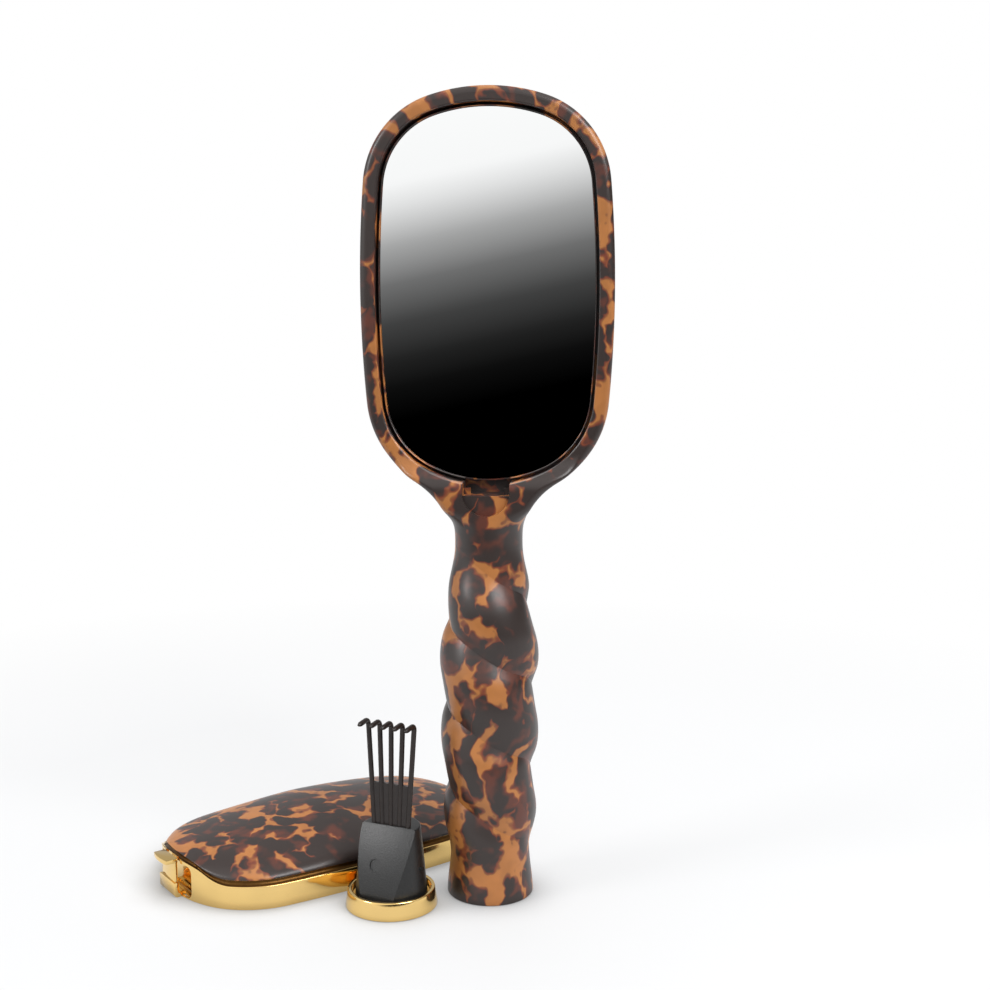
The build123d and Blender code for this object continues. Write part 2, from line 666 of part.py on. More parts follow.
def main():
    """Build every piece and write it."""
    os.makedirs("parts", exist_ok=True)
    save("handle_and_head_frame", frame_body(), BRUSH)
    save("mirror_tray", mirror_tray(), BRUSH)
    glass_back = FLOOR_Y - TRAY_FLOOR - ADHESIVE
    save("mirror_adhesive_pad", mirror_layer(glass_back, FLOOR_Y - TRAY_FLOOR), BRUSH)
    save("mirror_glass", mirror_layer(glass_back - GLASS, glass_back), BRUSH)
    plate_back = PAD_FLOOR_Y + PLATE
    save("bristle_backing_plate", brush_opening(PAD_GAP, PAD_FLOOR_Y, plate_back), BRUSH)
    cushion = pillow(PAD_GAP, plate_back, PAD_FLANGE, PAD_CROWN)
    save("bristle_cushion", cushion, BRUSH)
    for number, (z, spots) in enumerate(pin_rows(), start=1):
        pins = [pin(x, z, pad_surface_y(cushion, x, z)) for x in spots]
        save(f"bristle_row_{number:02d}", pins, BRUSH)
    save("cover_rim", cover_rim(), COVER)
    save("cover_dome", cover_dome(), COVER)
    save("latch_tongue", latch_tongue(), COVER)
    save("tool_end_cap", tool_end_cap(), TOOL)
    save("tool_plug_body", tool_plug_body(), TOOL)
    save("tool_rake_comb", tool_rake_comb(), TOOL)


if __name__ == "__main__":
    main()
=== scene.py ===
import math

import bmesh
import bpy
from bpy.props import FloatProperty, FloatVectorProperty, IntProperty, PointerProperty
from mathutils import Matrix, Vector
from mathutils.kdtree import KDTree


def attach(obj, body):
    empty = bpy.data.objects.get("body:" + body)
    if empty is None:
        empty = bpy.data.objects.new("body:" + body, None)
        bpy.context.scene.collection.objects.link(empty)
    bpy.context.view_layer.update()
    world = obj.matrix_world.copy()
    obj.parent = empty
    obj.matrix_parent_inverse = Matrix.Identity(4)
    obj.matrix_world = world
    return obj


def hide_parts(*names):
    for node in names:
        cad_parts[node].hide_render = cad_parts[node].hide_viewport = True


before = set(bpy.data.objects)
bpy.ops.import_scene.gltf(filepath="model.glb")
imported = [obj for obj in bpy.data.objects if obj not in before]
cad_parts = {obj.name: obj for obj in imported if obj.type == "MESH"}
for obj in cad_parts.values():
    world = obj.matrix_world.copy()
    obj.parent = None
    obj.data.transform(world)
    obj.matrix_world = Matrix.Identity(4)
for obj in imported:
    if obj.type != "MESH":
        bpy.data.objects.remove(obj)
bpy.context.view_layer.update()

bl_info = {
    "name": "Hairbrush and mirror",
    "version": (1, 0, 0),
    "blender": (4, 5, 0),
    "location": "3D View > Sidebar > Hairbrush",
    "description": "Models a twisted-handle hairbrush with a mirror, its domed cover and its cleaning rake",
    "category": "Add Mesh",
}

MM = 0.001

# Where the three groups stand
BRUSH = Matrix.Translation((0.0357, -0.0252, 0))
COVER = BRUSH @ Matrix.Translation((-0.1015, -0.0096, 0)) @ Matrix.Rotation(math.radians(40.6), 4, "Z")
RAKE = BRUSH @ Matrix.Translation((-0.0299, -0.013, 0)) @ Matrix.Rotation(math.radians(-20), 4, "Z")

# Depths through the head, in millimetres from the handle's axis towards the back
FACE_Y, BACK_Y = -6.0, 8.0
FLOOR_Y, PAD_FLOOR_Y = 1.5, 3.5
SWELL, SWELL_START, SWELL_END = 4.9, 9.2, -1.3
NECK_FRONT_Y = FACE_Y - SWELL

# Heights on the brush: the neck's ends under the opening, and waist, belly and first crease over the foot
NECK_TOP_DROP, NECK_LOW_DROP, NECK_LENGTH = 6.7, 19.7, 13
WAIST_Z, BELLY_Z, CREASE_Z = 16, 72, 78.9
# How far the creases lean out of an even twist, where the strands start, and how slowly they rise
CREASE_LEAN, STRAND_LOW, STRAND_RISE = 3.0, 8, 22
FOOT_ROUND = 0.6

# Radius and height of the bore, from the foot's edge up to its closed end
BORE = ((12.0, 0.0), (11.75, 0.06), (11.68, 0.3), (10.9, 12), (10.9, 57.5), (8.4, 60))

# The cover's rim: its height on the table, and how far it stands inside the opening's outline
RIM_H, RIM_GAP = 7.5, 0.25

# Where the cushion's crown starts, and how far in from its edge the rubber has risen in full
CROWN_Y, CROWN_RUN = 7.0, 24

# Latch: half widths of the tongue, of its shoulders, of the pocket behind it and of the socket in the head
TONGUE_HALF, SHOULDER_HALF, POCKET_HALF = 4.9, 5.8, 11.2
SOCKET_HALF = 7.2

# Plug: where it starts in the cap, its radius there and what it loses up to its top
PLUG_FLOOR, PLUG_FOOT_R, PLUG_TAPER = 3.2, 11.35, 1.95

# Camera: focal length and image width in pixels, sensor width in millimetres
FOCAL, IMAGE_WIDTH, SENSOR = 1440, 990, 36


# ---- sizes and colours ----


def srgb(hex_colour):
    """A web colour as linear red, green and blue."""
    parts = [int(hex_colour[place : place + 2], 16) / 255 for place in (1, 3, 5)]
    return tuple(c / 12.92 if c <= 0.04045 else ((c + 0.055) / 1.055) ** 2.4 for c in parts)


def length_prop(name, description, default):
    """A length in metres, shown in the scene's units."""
    return FloatProperty(name=name, description=description, default=default, unit="LENGTH", precision=5)


def colour_prop(name, description, hex_colour):
    """A colour with its default written as a web colour."""
    return FloatVectorProperty(
        name=name, description=description, default=srgb(hex_colour), size=3, subtype="COLOR", min=0, max=1
    )


class HeadSizes(bpy.types.PropertyGroup):
    """Sizes of the head and its opening."""

    top: length_prop("Brush height", "From the handle's foot to the crown of the head", 0.25)
    opening_length: length_prop("Opening length", "Length of the opening in the ring", 0.1138)
    opening_width: length_prop("Opening width", "Width of the opening in the ring", 0.0677)
    widest: length_prop("Widest place", "From the latch end to the widest place of the opening", 0.059)
    side_radius: length_prop("Side radius", "Radius of the opening's long sides", 0.38)
    end_radius: length_prop("End radius", "Radius of the opening's latch end", 0.041)
    end_corner_radius: length_prop("End corner radius", "Radius of the opening's lower corners", 0.026)
    crown_radius: length_prop("Crown radius", "Radius of the opening's upper end", 0.052)
    corner_radius: length_prop("Corner radius", "Radius of the opening's upper corners", 0.024)
    ring_wall: length_prop("Ring width", "Width of the ring round the opening", 0.0045)
    front_round: length_prop("Front rounding", "Radius of the ring's front outer edge", 0.002)
    back_round: length_prop("Back rounding", "Radius of the ring's back outer edge", 0.0035)


class HandleSizes(bpy.types.PropertyGroup):
    """Sizes of the twisted handle."""

    neck_radius: length_prop("Neck radius", "Radius of the slim neck", 0.01045)
    flare_radius: length_prop("Flare radius", "Radius of the curve from neck to head", 0.0225)
    foot_radius: length_prop("Foot radius", "Radius of the handle's foot", 0.01365)
    waist_radius: length_prop("Waist radius", "Radius of the waist over the foot", 0.01235)
    belly_radius: length_prop("Belly radius", "Radius of the creases at the belly", 0.0132)
    twist_pitch: length_prop("Twist pitch", "Height of one full turn of the twist", 0.0524)
    strand_bulge: length_prop("Strand bulge", "How far a strand stands over its creases", 0.0024)


class CushionSizes(bpy.types.PropertyGroup):
    """Sizes of the bristle cushion and its pins."""

    crown: length_prop("Cushion crown", "Height of the rubber's rounded crown", 0.0063)
    pin_length: length_prop("Pin length", "Pin from the rubber to the end of its ball", 0.0148)
    ball_radius: length_prop("Ball radius", "Radius of a pin's ball tip", 0.001)
    row_pitch: length_prop("Row pitch", "Distance from row to row", 0.0086)
    pin_pitch: length_prop("Pin pitch", "Distance from pin to pin in a row", 0.0076)
    pin_sides: IntProperty(name="Pin sides", description="Faces round each pin", default=10, min=6, max=24)


class CoverSizes(bpy.types.PropertyGroup):
    """Sizes of the domed cover."""

    dome_top: length_prop("Dome height", "Top of the dome over the table", 0.0190)
    dome_wall: length_prop("Dome wall", "Thickness of the dome's shell", 0.0016)
    ledge: length_prop("Ledge", "Width and height of the coved ledge under the dome", 0.0015)
    rim_wall: length_prop("Rim wall", "Thickness of the plated rim", 0.00075)


class RakeSizes(bpy.types.PropertyGroup):
    """Sizes of the cleaning rake."""

    cap_height: length_prop("Cap height", "Height of the plated end cap", 0.0057)
    plug_height: length_prop("Plug height", "Top of the plug over the table", 0.0256)
    tine_top: length_prop("Tine height", "Top of the tines over the table", 0.0595)
    tine_radius: length_prop("Tine radius", "Radius of one tine", 0.0008)
    tines: IntProperty(name="Tines", description="Number of hooked tines", default=5, min=3, max=7)


class FinishColours(bpy.types.PropertyGroup):
    """Colours of the finishes."""

    amber: colour_prop("Amber", "Clear parts of the tortoiseshell", "#AC6E39")
    amber_red: colour_prop("Amber edge", "Reddish edge of the dark patches", "#7E3A24")
    dark: colour_prop("Dark patch", "Dark patches of the tortoiseshell", "#2F2623")
    gold: colour_prop("Gold", "Plated rim, latch and cap", "#F1CD85")
    # painted shade: a darker gold for the cove under the dome, standing in for the dark reflection there
    painted_cove_shade: colour_prop("Bronze", "Painted shade on the gold in the cove under the dome", "#5A3E1E")
    plug_black: colour_prop("Plug black", "Moulded plug", "#191919")
    nylon: colour_prop("Rake nylon", "Hooked tines", "#1E1613")
    rubber: colour_prop("Cushion rubber", "Rubber cushion", "#1C1918")
    pin: colour_prop("Pin nylon", "Bristle pins", "#2A1E1A")
    silver: colour_prop("Mirror silver", "Silvered glass", "#F2F3F3")
    foam: colour_prop("Foam", "Tape behind the glass", "#D8D6D0")
    plate: colour_prop("Backing plate", "Plate behind the cushion", "#202020")
    floor: colour_prop("Floor", "Table and backdrop", "#D2D2D2")


# ---- modelling by hand ----


def clear_selection():
    """Leave edit mode and select nothing."""
    if bpy.context.mode != "OBJECT":
        bpy.ops.object.mode_set(mode="OBJECT")
    bpy.ops.object.select_all(action="DESELECT")


def only(piece):
    """Select one object alone and make it the active one."""
    clear_selection()
    piece.select_set(True)
    bpy.context.view_layer.objects.active = piece


def put(piece, place):
    """Move a piece to a place and apply the move to its mesh."""
    only(piece)
    piece.matrix_world = place
    bpy.ops.object.transform_apply(location=True, rotation=True, scale=True)


def loop_at(name, points):
    """Add a circle with a vertex for each point and move its vertices onto the points, in millimetres."""
    clear_selection()
    bpy.ops.mesh.primitive_circle_add(vertices=len(points), radius=0.01)
    piece = bpy.context.object
    piece.name = piece.data.name = name
    for vertex, point in zip(piece.data.vertices, points):
        vertex.co = Vector(point) * MM
    return piece


def near_points(points):
    """Search tree of points given in millimetres."""
    tree = KDTree(len(points))
    for place, point in enumerate(points):
        tree.insert(Vector(point) * MM, place)
    tree.balance()
    return tree


def grow(piece, rows):
    """Extrude the selected loop, which lies on the first row, through the other rows."""
    bpy.ops.object.mode_set(mode="EDIT")
    bpy.ops.mesh.select_mode(type="EDGE")
    mesh = bmesh.from_edit_mesh(piece.data)
    near = near_points(rows[0])
    order = {tuple(v.co): near.find(v.co)[1] for v in mesh.verts if v.select}
    for row in rows[1:]:
        bpy.ops.mesh.extrude_edges_indiv()
        mesh = bmesh.from_edit_mesh(piece.data)
        moved = {}
        for vertex in [v for v in mesh.verts if v.select]:
            place = order[tuple(vertex.co)]
            vertex.co = Vector(row[place]) * MM
            moved[tuple(vertex.co)] = place
        order = moved
    bmesh.update_edit_mesh(piece.data)


def close_flat():
    """Close the selected loop with one face."""
    bpy.ops.mesh.edge_face_add()


def grown(name, rows):
    """Close the first row flat and grow the piece through the others; the last row stays selected."""
    piece = loop_at(name, rows[0])
    bpy.ops.object.mode_set(mode="EDIT")
    bpy.ops.mesh.select_all(action="SELECT")
    close_flat()
    bpy.ops.mesh.select_mode(type="EDGE")
    bpy.ops.mesh.select_all(action="SELECT")
    grow(piece, rows)
    return piece


def select_edges(piece, test):
    """In edit mode, select the edges that pass a test."""
    bpy.ops.mesh.select_mode(type="EDGE")
    bpy.ops.mesh.select_all(action="DESELECT")
    mesh = bmesh.from_edit_mesh(piece.data)
    for line in mesh.edges:
        line.select_set(test(line))
    mesh.select_flush_mode()
    bmesh.update_edit_mesh(piece.data)


def clean(piece, merge=0.000002):
    """Merge doubles and turn the faces outwards."""
    bpy.ops.object.mode_set(mode="EDIT")
    bpy.ops.mesh.select_all(action="SELECT")
    bpy.ops.mesh.remove_doubles(threshold=merge)
    bpy.ops.mesh.normals_make_consistent(inside=False)
    bpy.ops.object.mode_set(mode="OBJECT")


def prism(name, points, direction, length):
    """Extrude a flat outline, in millimetres, into a closed body."""
    far = [tuple(Vector(p) + Vector(direction) * length) for p in points]
    piece = grown(name, [points, far])
    close_flat()
    clean(piece)
    return piece


def block(name, low, high):
    """A box between two corners, in millimetres."""
    corners = [(low[0], low[1]), (high[0], low[1]), (high[0], high[1]), (low[0], high[1])]
    return prism(name, [(x, y, low[2]) for x, y in corners], (0, 0, 1), high[2] - low[2])


def turned(name, profile, steps):
    """Extrude a vertex along a profile of radius and height, then spin it round the upright axis."""
    clear_selection()
    bpy.ops.mesh.primitive_plane_add(size=0.001)
    piece = bpy.context.object
    piece.name = piece.data.name = name
    bpy.ops.object.mode_set(mode="EDIT")
    bpy.ops.mesh.select_mode(type="VERT")
    bpy.ops.mesh.select_all(action="SELECT")
    bpy.ops.mesh.merge(type="CENTER")
    here = Vector((profile[0][0], 0, profile[0][1])) * MM
    bpy.ops.transform.translate(value=here)
    for radius, height in profile[1:]:
        there = Vector((radius, 0, height)) * MM
        bpy.ops.mesh.extrude_region_move(TRANSFORM_OT_translate={"value": there - here})
        here = there
    bpy.ops.mesh.select_all(action="SELECT")
    bpy.ops.mesh.spin(steps=steps, angle=2 * math.pi, center=(0, 0, 0), axis=(0, 0, 1))
    clean(piece)
    return piece


def combine(piece, tool, how):
    """Cut a tool out of a piece, or weld it on, and remove the tool."""
    only(piece)
    step = piece.modifiers.new(how.title(), "BOOLEAN")
    step.operation = how
    step.solver = "EXACT"
    step.object = tool
    bpy.ops.object.modifier_apply(modifier=step.name)
    bpy.data.objects.remove(tool)


def ease_edges(piece, width, segments=2, angle=35):
    """Round the sharp edges by a width in millimetres."""
    only(piece)
    step = piece.modifiers.new("Edges", "BEVEL")
    step.width = width * MM
    step.segments = segments
    step.limit_method = "ANGLE"
    step.angle_limit = math.radians(angle)
    step.miter_outer = "MITER_ARC"
    bpy.ops.object.modifier_apply(modifier=step.name)


def copy_of(piece, name):
    """A copy with its own mesh."""
    twin = piece.copy()
    twin.data = piece.data.copy()
    twin.name = twin.data.name = name
    bpy.context.scene.collection.objects.link(twin)
    return twin


def join(pieces, name):
    """Join pieces into the first one."""
    only(pieces[0])
    for piece in pieces:
        piece.select_set(True)
    if len(pieces) > 1:
        bpy.ops.object.join()
    pieces[0].name = pieces[0].data.name = name
    return pieces[0]


def settle(piece, group, body, nodes, material, angle=35):
    """Shade a finished piece, put it at its group's place and tie it to the frame."""
    only(piece)
    bpy.ops.object.shade_smooth_by_angle(angle=math.radians(angle))
    put(piece, group @ piece.matrix_world)
    piece.data.materials.clear()
    piece.data.materials.append(material)
    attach(piece, body)
    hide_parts(*nodes)
    if not piece.data.polygons:
        raise RuntimeError(f"{piece.name} has no faces")
    return piece


# ---- outlines that the pieces share ----


def ease(t):
    """Half a cosine from 0 to 1."""
    return (1 - math.cos(math.pi * min(max(t, 0.0), 1.0))) / 2


def circle(across, up, radius, step):
    """Points of a circle with a step in degrees."""
    turns = [math.radians(a) for a in range(0, 360, step)]
    return [(across + radius * math.cos(a), up + radius * math.sin(a)) for a in turns]


def between(first, second, share):
    """Points a share of the way from one row to another."""
    return [(a[0] + (b[0] - a[0]) * share, a[1] + (b[1] - a[1]) * share) for a, b in zip(first, second)]


def swell(u):
    """Rise of the ring's face at a distance from the latch end."""
    run = SWELL_START - SWELL_END
    bend = (run**2 + SWELL**2) / (4 * SWELL)
    from_start, from_end = SWELL_START - u, u - SWELL_END
    if from_start <= 0:
        return 0.0
    if from_end <= 0:
        return SWELL
    if from_start < run / 2:
        return bend - math.sqrt(bend**2 - from_start**2)
    return SWELL - bend + math.sqrt(bend**2 - from_end**2)


def inner_corner(first, first_r, second, second_r, corner_r, side):
    """Centre of a corner circle that touches two circles from within, on one side of their line."""
    gap = (second[0] - first[0], second[1] - first[1])
    span = math.hypot(*gap)
    along = ((first_r - corner_r) ** 2 - (second_r - corner_r) ** 2 + span**2) / (2 * span)
    across = side * math.sqrt((first_r - corner_r) ** 2 - along**2)
    away = (gap[0] / span, gap[1] / span)
    return first[0] + along * away[0] - across * away[1], first[1] + along * away[1] + across * away[0]


def opening_arcs(head):
    """Right half of the opening's outline from the latch end: centre, radius, first and last angle."""
    length = head.opening_length / MM
    side_r, end_r, crown_r = (r / MM for r in (head.side_radius, head.end_radius, head.crown_radius))
    low_r, high_r = head.end_corner_radius / MM, head.corner_radius / MM
    side = (head.opening_width / MM / 2 - side_r, head.widest / MM)
    end, crown = (0, end_r), (0, length - crown_r)
    low = inner_corner(side, side_r, end, end_r, low_r, -1)
    high = inner_corner(side, side_r, crown, crown_r, high_r, 1)

    def angle(first, second):
        return math.atan2(second[1] - first[1], second[0] - first[0])

    return [
        (end, end_r, -math.pi / 2, angle(end, low)),
        (low, low_r, angle(end, low), angle(side, low)),
        (side, side_r, angle(side, low), angle(side, high)),
        (high, high_r, angle(side, high), angle(crown, high)),
        (crown, crown_r, angle(crown, high), math.pi / 2),
    ]


def stations(head, spacing=1.1, cuts=None):
    """Places round the opening from the latch end: centre, radius and angle of each.

    The cuts give, by an arc's number, angles to stop at and the steps up to each of them.
    """
    half = []
    for number, (centre, radius, start, end) in enumerate(opening_arcs(head)):
        here = start
        for angle, steps in [*(cuts or {}).get(number, ()), (end, None)]:
            if angle - here > 0.000001:
                pitch = spacing * (2 if radius > 200 else 1)
                count = steps or max(3, round(radius * (angle - here) / pitch))
                half += [(centre, radius, here + (angle - here) * k / count) for k in range(count)]
            here = angle
    crown, crown_r = half[-1][0], half[-1][1]
    left = [((-c[0], c[1]), r, math.pi - a) for c, r, a in reversed(half[1:])]
    return half + [(crown, crown_r, math.pi / 2)] + left


def round_loop(places, inset):
    """Points of the outline drawn in by an inset."""
    return [(c[0] + (r - inset) * math.cos(a), c[1] + (r - inset) * math.sin(a)) for c, r, a in places]


def quarter(radius, steps, start=0):
    """Steps of a quarter round: how far along and how far in, in turn."""
    marks = [math.pi / 2 * k / steps for k in range(start, steps + 1)]
    return [(radius * math.sin(m), radius * (1 - math.cos(m))) for m in marks]


# ---- brush ----


def open_z(head):
    """Height of the opening's latch end."""
    return (head.top - head.ring_wall - head.opening_length) / MM


def crease_radius(z, handle, neck_low):
    """Handle radius in the creases: flared foot, waist, belly, then the slim neck."""
    foot, waist, belly, neck = (
        r / MM for r in (handle.foot_radius, handle.waist_radius, handle.belly_radius, handle.neck_radius)
    )
    if z < WAIST_Z:
        return foot + (waist - foot) * ease(z / WAIST_Z)
    if z < BELLY_Z:
        return waist + (belly - waist) * ease((z - WAIST_Z) / (BELLY_Z - WAIST_Z))
    return belly + (neck - belly) * ease((z - BELLY_Z) / (neck_low - BELLY_Z))


def crease_angle(z, strand, handle):
    """Angle of a crease from the front towards +X; between front and sides it leaves an even twist."""
    turn = 2 * math.pi * MM / handle.twist_pitch
    angle = 0.0
    for _ in range(40):
        angle = turn * (CREASE_Z - z + CREASE_LEAN * math.sin(angle + strand * math.pi) ** 3)
    return angle + strand * math.pi


def handle_radius(z, angle, handle, neck_low):
    """Handle radius at a height and an angle: two strands, each an arc from crease to crease."""
    low = crease_radius(z, handle, neck_low)
    rising, running_out = (z - STRAND_LOW) / STRAND_RISE, (neck_low + 2 - z) / STRAND_RISE
    bulge = handle.strand_bulge / MM * ease(rising) * ease(running_out)
    first, second = crease_angle(z, 0, handle), crease_angle(z, 1, handle)
    turn = (angle - first) % (2 * math.pi)
    span = (second - first) % (2 * math.pi)
    if turn > span:
        turn, span = turn - span, 2 * math.pi - span
    crest = low + bulge
    centre = (crest**2 - low**2) / (2 * (crest - low * math.cos(span / 2)))
    away = turn - span / 2
    return centre * math.cos(away) + math.sqrt((crest - centre) ** 2 - (centre * math.sin(away)) ** 2)


def box_radius(angle, half, front, back, front_r, back_r):
    """Radius of a rounded box section at an angle from the front, found by halving."""
    low, high = 0.0, 30.0
    for _ in range(26):
        radius = (low + high) / 2
        x, y = abs(radius * math.sin(angle)), -radius * math.cos(angle)
        corner = front_r if y < (front + back) / 2 else back_r
        over_y = max(front + corner - y, y - back + corner)
        over_x = x - half + corner
        if over_x > 0 and over_y > 0:
            outside = math.hypot(over_x, over_y) - corner
        else:
            outside = max(over_x, over_y) - corner
        low, high = (low, radius) if outside > 0 else (radius, high)
    return low


# Steps of the grid over the head: under the neck, up the flare, and over the front edge, side and back edge
BOTTOM_STEPS, FLARE_STEPS = 24, 18
FRONT_ROUND_STEPS, SIDE_STEPS, BACK_ROUND_STEPS = 6, 5, 7
FACE_SHARES = [k / 12 for k in range(1, 13)]


def flare_circle(head, handle):
    """Centre of the circle from neck to head, and the angle at which it touches the head's lower corner."""
    corner, corner_r = opening_arcs(head)[1][:2]
    flare_r = handle.flare_radius / MM
    reach = corner_r + head.ring_wall / MM + flare_r
    flare_x = handle.neck_radius / MM + flare_r
    flare_z = open_z(head) + corner[1] - math.sqrt(reach**2 - (flare_x - corner[0]) ** 2)
    touch = math.atan2(flare_z - open_z(head) - corner[1], flare_x - corner[0])
    return flare_x, flare_z, touch


def head_layout(head, handle):
    """Places round the ring, with the outer outline's points and directions that belong to them."""
    low_z = open_z(head)
    wall = head.ring_wall / MM
    flare_r = handle.flare_radius / MM
    flare_x, flare_z, touch = flare_circle(head, handle)
    neck_top = low_z - NECK_TOP_DROP
    half = flare_x - math.sqrt(flare_r**2 - (neck_top - flare_z) ** 2)
    start = math.atan2(neck_top - flare_z, half - flare_x)
    end = touch + math.pi
    (_, end_r, first, last), (_, corner_r, _, _) = opening_arcs(head)[:2]
    share = half / (half + flare_r * (start - end))
    cut = first + share * (last - first + corner_r * (touch - last) / end_r)
    cuts = {0: [(cut, BOTTOM_STEPS), (last, FLARE_STEPS - 2)], 1: [(touch, 2)]}
    places = stations(head, 1.0, cuts)
    count = len(places)
    outer = []
    for index, (centre, radius, angle) in enumerate(places):
        side = min(index, count - index)
        sign = 1 if index <= count / 2 else -1
        if side <= BOTTOM_STEPS:
            across = start
            point = (sign * half * side / BOTTOM_STEPS, neck_top)
            away = (0, -1)
            if side == BOTTOM_STEPS:
                away = (-sign * math.cos(across), -math.sin(across))
        elif side <= BOTTOM_STEPS + FLARE_STEPS:
            across = start + (end - start) * (side - BOTTOM_STEPS) / FLARE_STEPS
            point = (sign * (flare_x + flare_r * math.cos(across)), flare_z + flare_r * math.sin(across))
            away = (-sign * math.cos(across), -math.sin(across))
        else:
            away = (math.cos(angle), math.sin(angle))
            point = (centre[0] + (radius + wall) * away[0], low_z + centre[1] + (radius + wall) * away[1])
        outer.append((point, away, side, sign))
    return places, outer


def head_rows(head, handle):
    """Rows of points over the head, from the mirror's floor round the outside to the cushion's floor."""
    places, outer = head_layout(head, handle)
    low_z = open_z(head)
    front_r, back_r = head.front_round / MM, head.back_round / MM
    lip = 0.35

    def face_y(z):
        return FACE_Y - swell(z - low_z)

    def inner(inset):
        return [(x, low_z + z) for x, z in round_loop(places, inset)]

    def edge(radius):
        corner = next(p for p in outer if p[2] == BOTTOM_STEPS and p[3] == 1)
        low_x = corner[0][0] - radius * corner[1][0]
        low = corner[0][1] - radius * corner[1][1]
        found = []
        for point, away, side, sign in outer:
            if side <= BOTTOM_STEPS:
                found.append((sign * low_x * side / BOTTOM_STEPS, low))
            else:
                found.append((point[0] - radius * away[0], point[1] - radius * away[1]))
        return found

    rows = [[(x, FLOOR_Y, z) for x, z in inner(0)]]
    rows.append([(x, face_y(z) + lip, z) for x, z in inner(0)])
    for along, across in quarter(lip, 3, 1):
        rows.append([(x, face_y(z) + lip - along, z) for x, z in inner(-across)])
    start, end = inner(-lip), edge(front_r)
    for share in FACE_SHARES:
        rows.append([(x, face_y(z), z) for x, z in between(start, end, share)])
    cut_from = len(rows) - 1
    belt, back_edge = edge(0), edge(back_r)
    for along, across in quarter(front_r, FRONT_ROUND_STEPS, 1):
        rows.append([(x, face_y(z) + across, z) for x, z in between(end, belt, along / front_r)])
    for step in range(1, SIDE_STEPS + 1):
        row = []
        for x, z in belt:
            start_y = face_y(z) + front_r
            row.append((x, start_y + (BACK_Y - back_r - start_y) * (step / SIDE_STEPS), z))
        rows.append(row)
    for along, across in quarter(back_r, BACK_ROUND_STEPS, 1):
        row = between(belt, back_edge, across / back_r)
        rows.append([(x, BACK_Y - back_r + along, z) for x, z in row])
    cut_to = len(rows) - 1
    for share in (0.25, 0.5, 0.75, 1):
        rows.append([(x, BACK_Y, z) for x, z in between(back_edge, start, share)])
    for along, across in quarter(lip, 3, 1):
        rows.append([(x, BACK_Y - across, z) for x, z in inner(along - lip)])
    rows.append([(x, PAD_FLOOR_Y, z) for x, z in inner(0)])
    return rows, cut_from, cut_to


def neck_start(rows, cut_from, cut_to):
    """The open loop under the head, from its front left corner round by the right."""
    count = len(rows[0])
    right, left = BOTTOM_STEPS, count - BOTTOM_STEPS
    front = [rows[cut_from][i % count] for i in range(left, count + right + 1)]
    right_side = [rows[r][right] for r in range(cut_from + 1, cut_to)]
    back = [rows[cut_to][i % count] for i in range(count + right, left - 1, -1)]
    left_side = [rows[r][left] for r in range(cut_to - 1, cut_from, -1)]
    return front + right_side + back + left_side


def polar(radius, angle, z):
    """A point at a radius and an angle from the front."""
    return radius * math.sin(angle), -radius * math.cos(angle), z


